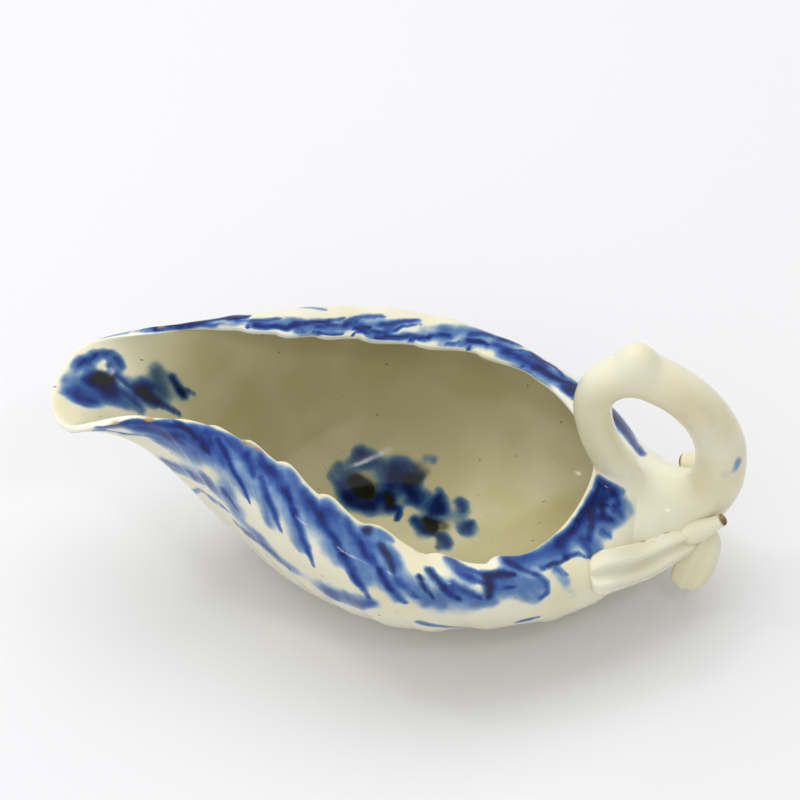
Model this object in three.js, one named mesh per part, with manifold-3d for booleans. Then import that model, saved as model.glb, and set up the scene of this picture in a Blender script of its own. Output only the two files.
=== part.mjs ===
// A press-moulded porcelain sauceboat in the form of a furled cos lettuce leaf.
// The leaf's stalk leaves the back of the boat, curls up and over as the loop handle
// and comes down behind the margin. A strap of leaf, a hanging leaf and two cut buds
// are luted round the stalk, and an oval foot ring under the floor.
// Millimetres, +Z up, lip towards -X, handle towards +X, mirror plane y = 0.
import * as THREE from "three";
import { mergeVertices } from "three/addons/utils/BufferGeometryUtils.js";
import Module from "manifold-3d";

// Overall sizes of the leaf body, measured from the middle of the foot
const LIP_REACH = 93.5;
const BACK_REACH = 70;
const BELLY_HALF_WIDTH = 50;
const MARGIN_TOP = 68.6;

// Clay and joints
const MARGIN_WALL = 1.9;
const BELLY_WALL = 3.0;
const FLOOR_THICKNESS = 3.2;
const LUTE_GAP = 0.3; // the slip line left where one piece is fitted to another

// Foot ring, an oval strip of clay under the floor
const FOOT_CENTRE_X = -1;
const FOOT_HALF_LENGTH = 29;
const FOOT_HALF_WIDTH = 23;
const FOOT_HEIGHT = 3;
const FOOT_RING_INSET = 0.8;
const FOOT_RING_WIDTH = 3.6;
const FOOT_RING_BEVEL = 0.5;

// Leaf relief. Each fold of the leaf ends at a notch of the margin, given in half turns
// from the stalk (0) to the lip (1). The two sides of a leaf alternate.
const NEAR_NOTCHES = [
  0.085, 0.165, 0.253, 0.344, 0.439, 0.512, 0.586, 0.643, 0.694, 0.743, 0.792, 0.85, 0.91,
];
const FAR_NOTCHES = [
  0.06, 0.125, 0.205, 0.298, 0.392, 0.478, 0.55, 0.615, 0.668, 0.718, 0.768, 0.82, 0.88, 0.94,
];
const FOLD_HEIGHT = 0.7;
const FOLD_SKEW = 2.0; // above 1 the crest stands nearer the lip end of a fold
const FOLD_SLANT = 0.09; // how far a fold runs back towards the stalk on its way down
const NEAR_LOBE_HEIGHT = 2.0; // how far a lobe of the margin stands past its notch
const FAR_LOBE_HEIGHT = 1.2;
const MIDRIB_HEIGHT = 1.1;
const MIDRIB_WIDTH = 0.035;

// Half outlines of the boat from the back round the side to the tip of the lip, as shares of
// the overall sizes. The margin is the leaf's edge; low and high are the two handles of the
// curve that each side follows from foot to margin.
const MARGIN = [
  [0.764, 0, 0.627], [0.679, 0.376, 0.596], [0.5, 0.656, 0.595], [0.257, 0.76, 0.628],
  [0, 0.704, 0.703], [-0.181, 0.594, 0.807], [-0.348, 0.45, 0.915], [-0.535, 0.356, 1],
  [-0.733, 0.329, 0.983], [-0.93, 0.3, 0.86], [-1, 0, 0.813],
];
const LOW = [
  [0.94, 0, 0.12], [0.92, 0.58, 0.1], [0.71, 0.785, 0.12], [0.34, 0.896, 0.12],
  [0.1, 0.898, 0.12], [-0.107, 0.784, 0.12], [-0.265, 0.651, 0.12], [-0.392, 0.505, 0.1],
  [-0.476, 0.37, 0.09], [-0.566, 0.2, 0.09], [-0.591, 0, 0.09],
];
const HIGH = [
  [1.2, 0, 0.525], [1.02, 0.62, 0.515], [0.7, 0.939, 0.574], [0.286, 1.168, 0.746],
  [-0.02, 1.286, 0.82], [-0.214, 1.214, 0.895], [-0.374, 1.032, 0.977], [-0.499, 0.726, 1.02],
  [-0.576, 0.385, 0.968], [-0.647, 0.145, 0.88], [-0.729, 0, 0.81],
];

// Stalk and loop in the plane y = 0, from where the stalk leaves the back of the boat.
// Stalk: x, z, half height, half width. Loop: x, z and its share of the loop's radius.
const STALK_RISE = 0.6; // where on the back of the boat the stalk leaves it
const LOOP_RADIUS = 7;
const STALK_COLLAR = 0.7; // the stalk's end stands proud of the loop luted to it
const STALK = [
  [-18.6, -3.4, 13, 31], [-8.6, -2.9, 12.8, 26], [-0.6, -1.9, 12, 19.5], [6.4, 0.1, 10, 12.8],
];
const STALK_TIP = [12.4, 2.6];
const LOOP = [
  [10.4, 1.6, 0.94], [13.9, 4.4, 1.03], [16.8, 9.6, 1.02], [17.9, 17.6, 1.0],
  [17.0, 27.1, 0.97], [13.0, 36.8, 0.92], [6.4, 44.7, 0.9], [0.2, 49.2, 0.92],
  [-5.9, 53.6, 1.03], [-10.0, 51.8, 0.87], [-15.0, 47.2, 0.8], [-17.3, 39.8, 0.75],
  [-16.3, 30.9, 0.72], [-13.2, 21.6, 0.72], [-9.0, 13.1, 0.8], [-5.6, 5.6, 0.86],
];

// Strap of leaf, laid from the near flank of the boat along the stalk.
// On the boat: turn, rise and lift off the clay. On the stalk: share of its length, angle
// from its top in degrees and lift. Sizes: half width and half thickness at each station.
const STRAP_ON_BOAT = [[0.152, 0.757, 0.3], [0.146, 0.752, 0.8], [0.13, 0.738, 1.4]];
const STRAP_ON_STALK = [[0.5, -80, 1.6], [0.74, -94, 1.5], [0.93, -110, 1.8]];
const STRAP_SIZES = [[3.6, 1.2], [5.6, 1.8], [6.2, 2.4], [5.5, 2.6], [4.6, 2.4], [3.5, 1.9]];
const STRAP_OUTWARD = [0.3, -0.75, 0.55];
const FLUTES = 2;
const FLUTE_DEPTH = 0.25; // as a share of the half thickness

// Pieces round the stalk's tip: x and z from the tip, distance out from its side,
// half width and half thickness
const HANGING_LEAF = [
  [4.0, -3.2, -0.9, 2.6, 1.7], [3.0, -8.0, 1.9, 5.0, 2.4], [1.0, -13.0, 4.7, 5.8, 2.5],
  [-0.7, -17.2, 6.5, 5.2, 2.3], [-1.5, -19.6, 7.3, 3.2, 1.5],
];
const HANGING_OUTWARD = [0.25, -0.9, 0.35];
const BUD_NEAR = [
  [-3.6, -3.4, 1.8, 1.8, 1.8], [-1.6, -2.3, 2.5, 3.2, 3.2], [1.9, 0.3, 2.7, 2.9, 2.9],
  [5.4, 2.8, 2.3, 2.0, 2.0], [7.8, 4.6, 1.9, 1.6, 1.6],
];
const BUD_FAR = [
  [5.0, 3.5, -1.2, 2.0, 2.0], [2.5, 4.5, 0.7, 3.0, 3.0], [-0.5, 3.6, 2.3, 2.7, 2.7],
  [-3.4, 2.6, 3.3, 1.8, 1.8],
];
const BUD_OUTWARD = [0, 0, 1];

// Glaze
const PLAIN_GLAZE = 0xe8e2cc;
const PAINTED_GLAZE = 0xa8b5c8;
const GLAZE_ROUGHNESS = 0.18;

// Mesh density
const OUTER_ROWS = 15;
const INNER_ROWS = 8;
const FOLD_STEPS = [0, 0.3, 0.55, 0.78, 0.92];
const STALK_MESH = { steps: 14, around: 24 };
const LOOP_MESH = { steps: 44, around: 18 };
const LEAF_MESH = { steps: 12, around: 24 };

const wasm = await Module();
wasm.setup();

const { degToRad, euclideanModulo, lerp, smoothstep } = THREE.MathUtils;
const vec = (x, y, z) => new THREE.Vector3(x, y, z);
const bentThrough = (points) => new THREE.CatmullRomCurve3(points);

// Triangles of the flat face inside a ring of points.
function capFaces(ring, base, reversed) {
  const normal = vec(0, 0, 0);
  ring.forEach((p, i) => normal.add(p.clone().cross(ring[(i + 1) % ring.length])));
  normal.normalize();
  const side = Math.abs(normal.z) > 0.9 ? vec(1, 0, 0) : vec(0, 0, 1);
  const across = side.cross(normal).normalize();
  const up = normal.clone().cross(across);
  const flat = ring.map((p) => new THREE.Vector2(p.dot(across), p.dot(up)));
  return THREE.ShapeUtils.triangulateShape(flat, []).flatMap(([a, b, c]) =>
    (reversed ? [a, c, b] : [a, b, c]).map((k) => base + k),
  );
}

// A closed skin over rings of equal length, with a flat cap on each end ring, facing out.
function loftRings(rings) {
  const count = rings[0].length;
  const points = rings.flat();
  const index = [];
  for (let i = 0; i + 1 < rings.length; i++)
    for (let j = 0; j < count; j++) {
      const a = i * count + j;
      const b = i * count + ((j + 1) % count);
      index.push(a, b, b + count, a, b + count, a + count);
    }
  index.push(...capFaces(rings[0], 0, true));
  index.push(...capFaces(rings.at(-1), (rings.length - 1) * count, false));
  let volume = 0;
  for (let i = 0; i < index.length; i += 3) {
    const [a, b, c] = index.slice(i, i + 3).map((k) => points[k]);
    volume += a.dot(b.clone().cross(c));
  }
  if (volume < 0) index.reverse();
  const position = points.flatMap((p) => [p.x, p.y, p.z]);
  const geometry = new THREE.BufferGeometry();
  geometry.setAttribute("position", new THREE.Float32BufferAttribute(position, 3));
  geometry.setIndex(index);
  return geometry;
}

function toSolid(geometry) {
  const merged = mergeVertices(geometry, 1e-4);
  const vertProperties = new Float32Array(merged.attributes.position.array);
  const triVerts = new Uint32Array(merged.index.array);
  return new wasm.Manifold(new wasm.Mesh({ numProp: 3, vertProperties, triVerts }));
}

function toGeometry(solid) {
  const mesh = solid.getMesh();
  const geometry = new THREE.BufferGeometry();
  geometry.setAttribute("position", new THREE.BufferAttribute(mesh.vertProperties, 3));
  geometry.setIndex(new THREE.BufferAttribute(mesh.triVerts, 1));
  geometry.computeVertexNormals();
  return geometry;
}

// Leaf surface. turn runs 0 at the stalk to 1 at the lip, rise 0 at the foot to 1 at the margin.
function halfOutline(shares) {
  const knots = shares.map(([along, across, up]) =>
    vec(along * (along > 0 ? BACK_REACH : LIP_REACH), across * BELLY_HALF_WIDTH, up * MARGIN_TOP),
  );
  const mirrored = knots.slice(1, -1).reverse().map((p) => vec(p.x, -p.y, p.z));
  const loop = new THREE.CatmullRomCurve3([...knots, ...mirrored], true, "centripetal");
  return (turn) => loop.getPoint(euclideanModulo(turn / 2, 1));
}
const marginAt = halfOutline(MARGIN);
const lowAt = halfOutline(LOW);
const highAt = halfOutline(HIGH);

function footAt(turn) {
  const angle = Math.PI * turn;
  return vec(
    FOOT_CENTRE_X + FOOT_HALF_LENGTH * Math.cos(angle),
    FOOT_HALF_WIDTH * Math.sin(angle),
    FOOT_HEIGHT,
  );
}

function leafPoint(turn, rise) {
  const t = turn - FOLD_SLANT * Math.sin(Math.PI * turn) * (1 - rise);
  return new THREE.CubicBezierCurve3(footAt(t), lowAt(t), highAt(t), marginAt(t)).getPoint(rise);
}

function leafNormal(turn, rise) {
  const step = 1e-3;
  const above = Math.min(rise + step, 1);
  const along = leafPoint(turn + step, rise).sub(leafPoint(turn - step, rise));
  const up = leafPoint(turn, above).sub(leafPoint(turn, above - 2 * step));
  return along.cross(up).normalize();
}

const leafSkin = (turn, rise, offset) =>
  leafPoint(turn, rise).addScaledVector(leafNormal(turn, rise), offset);

// One fold of the leaf rises slowly from a notch and drops sharply into the next.
function foldAt(turn, notches) {
  const edges = [0, ...notches, 1];
  const k = Math.min(edges.findLastIndex((edge) => turn >= edge), notches.length);
  const phase = (turn - edges[k]) / (edges[k + 1] - edges[k]);
  return Math.sin(Math.PI * phase ** FOLD_SKEW);
}

function reliefAt(turn, rise, notches) {
  const fade = smoothstep(rise, 0.08, 0.35);
  const midrib = Math.exp(-((Math.min(turn, 1 - turn) / MIDRIB_WIDTH) ** 2));
  const crest = MIDRIB_HEIGHT * midrib * (1 - smoothstep(rise, 0.7, 0.95));
  return fade * (FOLD_HEIGHT * foldAt(turn, notches) * (1 - midrib) + crest);
}

const nearHalf = { side: -1, notches: NEAR_NOTCHES, lobeHeight: NEAR_LOBE_HEIGHT };
const farHalf = { side: 1, notches: FAR_NOTCHES, lobeHeight: FAR_LOBE_HEIGHT };

// The lobes of the margin fade out towards the stalk and the lip.
function lobeAt(turn, { notches, lobeHeight }) {
  const window = smoothstep(turn, 0.04, 0.12) * (1 - smoothstep(turn, 0.56, 0.76));
  return lobeHeight * window * foldAt(turn, notches);
}

// The direction in which the wall ends at its margin.
const marginUp = (turn) => leafPoint(turn, 1).sub(leafPoint(turn, 0.98)).normalize();

// The outside of the wall at one turn, from foot to margin and up its lobe.
function outerSection(turn, half, grow) {
  const points = [];
  for (let i = 0; i <= OUTER_ROWS; i++) {
    const rise = i / OUTER_ROWS;
    points.push(leafSkin(turn, rise, reliefAt(turn, rise, half.notches) + grow));
  }
  points.at(-1).addScaledVector(marginUp(turn), lobeAt(turn, half));
  return points;
}

// The wall cut at one turn: floor, foot, outside, margin, inside and floor again.
function wallSection(turn, half) {
  const spine = (FOOT_HALF_LENGTH - FOOT_HALF_WIDTH) * Math.cos(Math.PI * turn);
  const centre = vec(FOOT_CENTRE_X + spine, 0, FOOT_HEIGHT);
  const outer = outerSection(turn, half, 0);
  const inner = [];
  for (let i = INNER_ROWS; i >= 0; i--) {
    const rise = i / INNER_ROWS;
    inner.push(leafSkin(turn, rise, -lerp(BELLY_WALL, MARGIN_WALL, rise)));
  }
  inner[0].addScaledVector(marginUp(turn), lobeAt(turn, half));
  const crest = outer.at(-1).clone().lerp(inner[0], 0.5);
  crest.addScaledVector(marginUp(turn), MARGIN_WALL / 3);
  return [centre, ...outer, crest, ...inner, vec(centre.x, 0, FOOT_HEIGHT + FLOOR_THICKNESS)];
}

function columnTurns(notches) {
  const edges = [0, ...notches, 1];
  const turns = edges
    .slice(1)
    .flatMap((end, k) => FOLD_STEPS.map((step) => lerp(edges[k], end, step)));
  return [...turns, 1];
}

function bodyHalf(half) {
  const rings = columnTurns(half.notches).map((turn) => {
    const ring = wallSection(turn, half);
    const onJoint = turn === 0 || turn === 1;
    ring.forEach((p) => p.setY(onJoint ? 0 : half.side * Math.max(p.y, 0)));
    return ring;
  });
  return loftRings(rings);
}

// The whole boat filled in up to its margin and grown by the slip line, to fit pieces to it.
function boatEnvelope() {
  const columns = (half) =>
    columnTurns(half.notches).map((turn) => {
      const column = outerSection(turn, half, LUTE_GAP);
      const top = column.at(-1).clone().addScaledVector(marginUp(turn), MARGIN_WALL);
      return [...column, top].map((p) => p.setY(half.side * p.y));
    });
  const near = columns(nearHalf).slice(1, -1).reverse();
  const around = [...columns(farHalf), ...near];
  return toSolid(loftRings(around[0].map((_, row) => around.map((column) => column[row]))));
}

const stalkRoot = leafPoint(0, STALK_RISE);
const fromRoot = ([x, z]) => vec(stalkRoot.x + x, 0, stalkRoot.z + z);
const tipRadius = LOOP_RADIUS + STALK_COLLAR;
const stalk = {
  path: bentThrough([...STALK, STALK_TIP].map(fromRoot)),
  size: bentThrough([
    ...STALK.map(([, , high, wide]) => vec(high, wide, 0)),
    vec(tipRadius, tipRadius, 0),
  ]),
};
const loop = {
  path: bentThrough(LOOP.map(fromRoot)),
  size: bentThrough(LOOP.map(([, , share]) => vec(1, 1, 0).multiplyScalar(share * LOOP_RADIUS))),
};

// A point on the skin of a roll of clay, at an angle from its top.
function onRoll({ path, size }, t, angle, lift) {
  const tangent = path.getTangent(t);
  const top = tangent.clone().cross(vec(0, 1, 0));
  const radius = size.getPoint(t).addScalar(lift);
  const p = path.getPoint(t).addScaledVector(top, radius.x * Math.cos(angle));
  return p.setY(radius.y * Math.sin(angle));
}

// A roll of clay bent along its path in the plane y = 0.
function rolledClay(roll, { steps, around }, grow) {
  const rings = [];
  for (let i = 0; i <= steps; i++) {
    const ring = [];
    for (let j = 0; j < around; j++)
      ring.push(onRoll(roll, i / steps, (2 * Math.PI * j) / around, grow));
    rings.push(ring);
  }
  return toSolid(loftRings(rings));
}

// A flat leaf or twig laid along a path, with flutes along its outward face.
function appliedClay({ path, size, outward, flute }, { steps, around }, grow) {
  const facing = vec(...outward).normalize();
  const rings = [];
  for (let i = 0; i <= steps; i++) {
    const t = i / steps;
    const tangent = path.getTangent(t);
    const across = tangent.clone().cross(facing).normalize();
    const face = across.clone().cross(tangent);
    const { x: wide, y: thick } = size.getPoint(t).addScalar(grow);
    const ring = [];
    for (let j = 0; j < around; j++) {
      const angle = (2 * Math.PI * j) / around;
      const reach = Math.cos(angle);
      const front = Math.max(Math.sin(angle), 0);
      const groove = 1 - flute * front * Math.cos(FLUTES * Math.PI * reach);
      const p = path.getPoint(t).addScaledVector(across, wide * reach);
      ring.push(p.addScaledVector(face, thick * Math.sin(angle) * groove));
    }
    rings.push(ring);
  }
  return toSolid(loftRings(rings));
}

function strapLeaf() {
  const onBoat = STRAP_ON_BOAT.map(([turn, rise, lift]) => {
    const p = leafSkin(turn, rise, reliefAt(turn, rise, NEAR_NOTCHES) + lift);
    return p.setY(-p.y);
  });
  const onStalk = STRAP_ON_STALK.map(([t, angle, lift]) => onRoll(stalk, t, degToRad(angle), lift));
  const size = bentThrough(STRAP_SIZES.map(([wide, thick]) => vec(wide, thick, 0)));
  const path = bentThrough([...onBoat, ...onStalk]);
  return { path, size, outward: STRAP_OUTWARD, flute: FLUTE_DEPTH };
}

// A piece laid beside the stalk's tip, on the near side (-1) or the far side (1).
function besideTip(stations, side, outward, flute) {
  const tip = fromRoot(STALK_TIP);
  const path = stations.map(([x, z, out]) => vec(tip.x + x, side * (tipRadius + out), tip.z + z));
  const size = stations.map(([, , , wide, thick]) => vec(wide, thick, 0));
  return { path: bentThrough(path), size: bentThrough(size), outward, flute };
}

function footRing() {
  const oval = (shape, inset) => {
    const halfLength = FOOT_HALF_LENGTH - inset;
    return shape.absellipse(FOOT_CENTRE_X, 0, halfLength, FOOT_HALF_WIDTH - inset, 0, 2 * Math.PI);
  };
  const shape = oval(new THREE.Shape(), FOOT_RING_INSET);
  shape.holes.push(oval(new THREE.Path(), FOOT_RING_INSET + FOOT_RING_WIDTH));
  const geometry = new THREE.ExtrudeGeometry(shape, {
    depth: FOOT_HEIGHT - 2 * FOOT_RING_BEVEL,
    bevelThickness: FOOT_RING_BEVEL,
    bevelSize: FOOT_RING_BEVEL,
    bevelOffset: -FOOT_RING_BEVEL,
    bevelSegments: 1,
    curveSegments: 24,
  });
  return geometry.translate(0, 0, FOOT_RING_BEVEL);
}

const body = new THREE.Group();
function addPiece(name, geometry, color = PLAIN_GLAZE) {
  const glaze = new THREE.MeshStandardMaterial({ color, roughness: GLAZE_ROUGHNESS, metalness: 0 });
  const mesh = new THREE.Mesh(geometry, glaze);
  mesh.name = name;
  body.add(mesh);
}

const strap = strapLeaf();
const hanging = besideTip(HANGING_LEAF, -1, HANGING_OUTWARD, FLUTE_DEPTH);
const budNear = besideTip(BUD_NEAR, -1, BUD_OUTWARD, 0);
const budFar = besideTip(BUD_FAR, 1, BUD_OUTWARD, 0);

// Each piece is fitted to those luted on before it.
const boatFit = boatEnvelope();
const stalkFit = rolledClay(stalk, STALK_MESH, LUTE_GAP).add(boatFit);
const loopFit = rolledClay(loop, LOOP_MESH, LUTE_GAP).add(stalkFit);
const strapFit = appliedClay(strap, LEAF_MESH, LUTE_GAP).add(loopFit);
const hangingFit = appliedClay(hanging, LEAF_MESH, LUTE_GAP).add(strapFit);

addPiece("body_half_left", bodyHalf(farHalf), PAINTED_GLAZE);
addPiece("body_half_right", bodyHalf(nearHalf), PAINTED_GLAZE);
addPiece("foot_ring", footRing());
addPiece("stalk", toGeometry(rolledClay(stalk, STALK_MESH, 0).subtract(boatFit)));
addPiece("handle_loop", toGeometry(rolledClay(loop, LOOP_MESH, 0).subtract(stalkFit)));
addPiece("strap_leaf", toGeometry(appliedClay(strap, LEAF_MESH, 0).subtract(loopFit)));
addPiece("hanging_leaf", toGeometry(appliedClay(hanging, LEAF_MESH, 0).subtract(strapFit)));
addPiece("bud_near", toGeometry(appliedClay(budNear, LEAF_MESH, 0).subtract(hangingFit)));
addPiece("bud_far", toGeometry(appliedClay(budFar, LEAF_MESH, 0).subtract(loopFit)));

// The origin is under the middle of the whole object.
const box = new THREE.Box3().setFromObject(body, true);
const middle = box.getCenter(vec(0, 0, 0));
body.position.set(-middle.x, -middle.y, -box.min.z);

const sauceboat = new THREE.Group();
sauceboat.add(body);
export default sauceboat;
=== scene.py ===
import math

import bpy
import numpy as np
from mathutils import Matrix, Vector, noise
from mathutils.bvhtree import BVHTree


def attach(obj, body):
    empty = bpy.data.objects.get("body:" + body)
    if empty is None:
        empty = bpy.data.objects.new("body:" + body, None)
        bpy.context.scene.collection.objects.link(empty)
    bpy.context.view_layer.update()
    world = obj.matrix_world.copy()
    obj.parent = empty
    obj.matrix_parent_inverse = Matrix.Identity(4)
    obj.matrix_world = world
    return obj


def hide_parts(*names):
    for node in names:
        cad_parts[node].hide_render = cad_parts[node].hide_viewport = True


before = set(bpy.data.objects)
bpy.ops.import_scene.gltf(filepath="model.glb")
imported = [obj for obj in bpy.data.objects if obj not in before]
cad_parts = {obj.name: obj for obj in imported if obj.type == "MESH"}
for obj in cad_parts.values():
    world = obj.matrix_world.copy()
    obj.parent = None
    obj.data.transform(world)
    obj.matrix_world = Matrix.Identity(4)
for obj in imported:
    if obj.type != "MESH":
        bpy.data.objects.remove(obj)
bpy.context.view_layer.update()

# Camera: a long lens on the near side of the boat, 5 degrees round towards the handle and
# 50 degrees above the table, so that it looks down into the well.
VIEW_TURN = math.radians(5)
VIEW_HEIGHT = math.radians(50)
VIEW_DISTANCE = 0.9
VIEW_CENTRE = Vector((0.0003, 0.0002, 0.030))
VIEW_RAISE = 0.0219
LENS, SENSOR_WIDTH = 147.8, 36
view_back = Vector((
    math.sin(VIEW_TURN) * math.cos(VIEW_HEIGHT),
    -math.cos(VIEW_TURN) * math.cos(VIEW_HEIGHT),
    math.sin(VIEW_HEIGHT),
))
view_right = Vector((math.cos(VIEW_TURN), math.sin(VIEW_TURN), 0))
view_up = view_back.cross(view_right)
eye = VIEW_CENTRE + view_back * VIEW_DISTANCE
aim = VIEW_CENTRE + view_up * VIEW_RAISE
camera = bpy.data.objects.new("camera", bpy.data.cameras.new("camera"))
camera.data.lens, camera.data.sensor_width = LENS, SENSOR_WIDTH
camera.location = eye
camera.rotation_euler = (aim - eye).to_track_quat("-Z", "Y").to_euler()
bpy.context.scene.collection.objects.link(camera)
bpy.context.scene.camera = camera
bpy.context.scene.view_settings.view_transform = "Standard"

# The leaf: one furled cos leaf of white clay, pressed in two half moulds and joined along the
# keel and the lip with slip. Its sides are pleated into slanting folds, each fold ends in a
# lobe of the margin, and the whole is painted in cobalt under a clear glaze.
MM = 0.001
FRAME_SHIFT = np.array([0.3215, 0.1704, 0.0])  # mm from the leaf's own axes to the frame's
LIP_REACH = 93.5
BACK_REACH = 70
BELLY_HALF_WIDTH = 50
MARGIN_TOP = 68.6
MARGIN_WALL = 1.9
BELLY_WALL = 3.0
FLOOR_THICKNESS = 3.2
FOOT_CENTRE_X = -1
FOOT_HALF_LENGTH = 29
FOOT_HALF_WIDTH = 23
FOOT_HEIGHT = 3
NEAR_FOLD_HEIGHT = 0.7
FAR_FOLD_HEIGHT = 0.4
FOLD_SKEW = 2.0
FOLD_SLANT = 0.09
NEAR_LOBE_HEIGHT = 2.0
FAR_LOBE_HEIGHT = 1.0
STEP = 1e-3  # of turn, rise or share, to find a slope with
TINY = 1e-9  # keeps a division away from 0
RIM_SLOPE_FROM = 0.98  # the rise that the margin's slope is taken from
VALLEY_ROUNDING = 2.0  # how softly the folds meet, in fold heights
FULL_FOLD = 0.095  # a fold narrower than this is shallower too
FOLDS_START = (0.1, 0.26)  # the turns over which folds and lobes come in and die out
LOBES_START = (0.15, 0.24)
LOBES_END = (0.56, 0.76)
FOLDS_RISE = (0.08, 0.35)  # the rises over which the folds grow out of the smooth foot
LOBE_FROM, LOBE_OVER = 0.9, 0.1  # the last part of the rise bends with the lobes
MIDRIB_HEIGHT = 1.1
MIDRIB_WIDTH = 0.035
MIDRIB_FADES = (0.7, 0.95)
NEAR_NOTCHES = [
    0.085, 0.165, 0.253, 0.344, 0.439, 0.512, 0.586, 0.643, 0.694, 0.743, 0.792, 0.85, 0.91,
]
FAR_NOTCHES = [
    0.06, 0.125, 0.205, 0.298, 0.392, 0.478, 0.55, 0.615, 0.668, 0.718, 0.768, 0.82, 0.88, 0.94,
]
# Half outlines from the back round the side to the tip of the lip, as shares of the reaches.
MARGIN = [
    (0.764, 0, 0.627), (0.679, 0.376, 0.596), (0.5, 0.656, 0.595), (0.257, 0.76, 0.628),
    (0, 0.704, 0.703), (-0.181, 0.594, 0.807), (-0.348, 0.45, 0.915), (-0.535, 0.356, 1),
    (-0.733, 0.329, 0.983), (-0.93, 0.3, 0.86), (-1, 0, 0.813),
]
LOW = [
    (0.94, 0, 0.12), (0.92, 0.58, 0.1), (0.71, 0.785, 0.12), (0.34, 0.896, 0.12),
    (0.1, 0.898, 0.12), (-0.107, 0.784, 0.12), (-0.265, 0.651, 0.12), (-0.392, 0.505, 0.1),
    (-0.476, 0.37, 0.09), (-0.566, 0.2, 0.09), (-0.591, 0, 0.09),
]
HIGH = [
    (1.2, 0, 0.525), (1.02, 0.62, 0.515), (0.7, 0.939, 0.574), (0.286, 1.168, 0.746),
    (-0.02, 1.286, 0.82), (-0.214, 1.214, 0.895), (-0.374, 1.032, 0.977),
    (-0.499, 0.726, 1.02), (-0.576, 0.385, 0.968), (-0.647, 0.145, 0.88), (-0.729, 0, 0.81),
]


def bent_through(points, closed=False):
    """A smooth curve through the points, asked for by its share from 0 to 1."""
    points = np.asarray(points, float)
    count = len(points)
    first, last = 2 * points[0] - points[1], 2 * points[-1] - points[-2]
    padded = np.vstack([first, points, last])

    def at(share):
        if closed:
            place = (np.asarray(share, float) % 1) * count
            knot = np.floor(place).astype(int)
            four = [points[(knot + k) % count] for k in (-1, 0, 1, 2)]
        else:
            place = np.clip(np.asarray(share, float), 0, 1) * (count - 1)
            knot = np.minimum(np.floor(place).astype(int), count - 2)
            four = [padded[knot + k] for k in range(4)]
        w = (place - knot)[..., None]
        a, b, c, d = four
        before, here, after = (
            np.maximum(np.sqrt(np.linalg.norm(q - p, axis=-1, keepdims=True)), TINY)
            for p, q in ((a, b), (b, c), (c, d))
        )
        out = ((b - a) / before - (c - a) / (before + here) + (c - b) / here) * here
        into = ((c - b) / here - (d - b) / (here + after) + (d - c) / after) * here
        return b + w * (out + w * (3 * (c - b) - 2 * out - into + w * (2 * (b - c) + out + into)))

    return at


def half_outline(shares):
    """The curve of a half outline, asked for by its turn."""
    along, across, up = np.asarray(shares, float).T
    reach = np.where(along > 0, BACK_REACH, LIP_REACH)
    knots = np.column_stack([along * reach, across * BELLY_HALF_WIDTH, up * MARGIN_TOP])
    loop = bent_through(np.vstack([knots, knots[1:-1][::-1] * [1, -1, 1]]), closed=True)
    return lambda turn: loop(turn / 2)


margin_at, low_at, high_at = half_outline(MARGIN), half_outline(LOW), half_outline(HIGH)


def leaf_point(turn, rise):
    """A point of the plain leaf: turn 0 to 1 from stalk to lip, rise 0 to 1 from the foot."""
    turn, rise = np.broadcast_arrays(np.asarray(turn, float), np.asarray(rise, float))
    t = turn - FOLD_SLANT * np.sin(np.pi * turn) * (1 - rise)
    foot = np.stack([
        FOOT_CENTRE_X + FOOT_HALF_LENGTH * np.cos(np.pi * t),
        FOOT_HALF_WIDTH * np.sin(np.pi * t),
        np.full(t.shape, float(FOOT_HEIGHT)),
    ], -1)
    r = rise[..., None]
    q = 1 - r
    side = q**3 * foot + 3 * q * q * r * low_at(t) + 3 * q * r * r * high_at(t)
    return side + r**3 * margin_at(t)


def leaf_skin(turn, rise, offset):
    """A point of the leaf, moved out of it by so many mm."""
    turn, rise = np.broadcast_arrays(np.asarray(turn, float), np.asarray(rise, float))
    above = np.minimum(rise + STEP, 1)
    along = leaf_point(turn + STEP, rise) - leaf_point(turn - STEP, rise)
    up = leaf_point(turn, above) - leaf_point(turn, above - 2 * STEP)
    normal = np.cross(along, up)
    normal /= np.linalg.norm(normal, axis=-1, keepdims=True)
    return leaf_point(turn, rise) + normal * np.asarray(offset)[..., None]


def smooth(x, low, high):
    """Runs smoothly from 0 at low to 1 at high."""
    x = np.clip((x - low) / (high - low), 0, 1)
    return x * x * (3 - 2 * x)


def fold_phase(turn, notches):
    """How far across its own fold each turn is, from 0 to 1."""
    edges = np.array([0, *notches, 1])
    k = np.clip(np.searchsorted(edges, turn, side="right") - 1, 0, len(notches))
    return np.clip((turn - edges[k]) / (edges[k + 1] - edges[k]), 0, 1)


def fold_width(turn, notches):
    """How wide the folds are at each turn, running evenly from one to the next."""
    edges = np.array([0, *notches, 1])
    middles, widths = (edges[1:] + edges[:-1]) / 2, np.diff(edges)
    return np.interp(turn, middles, widths)


def fold_at(turn, notches):
    """The outline of the folds, 0 in the notches and 1 on the ridges."""
    return np.sin(np.pi * fold_phase(turn, notches) ** FOLD_SKEW)


def relief_at(turn, rise, notches, fold_height):
    """How far folds and midrib stand out of the wall."""
    midrib = np.exp(-((np.minimum(turn, 1 - turn) / MIDRIB_WIDTH) ** 2))
    crest = MIDRIB_HEIGHT * midrib * (1 - smooth(rise, *MIDRIB_FADES))
    pleat = fold_at(turn, notches)
    pleat = pleat ** 2 * (1 + VALLEY_ROUNDING) / (pleat + VALLEY_ROUNDING)
    depth = fold_height * np.clip(fold_width(turn, notches) / FULL_FOLD, 0, 1) ** 2
    fold = depth * pleat * smooth(turn, *FOLDS_START) * (1 - midrib)
    return smooth(rise, *FOLDS_RISE) * (fold + crest)


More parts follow.
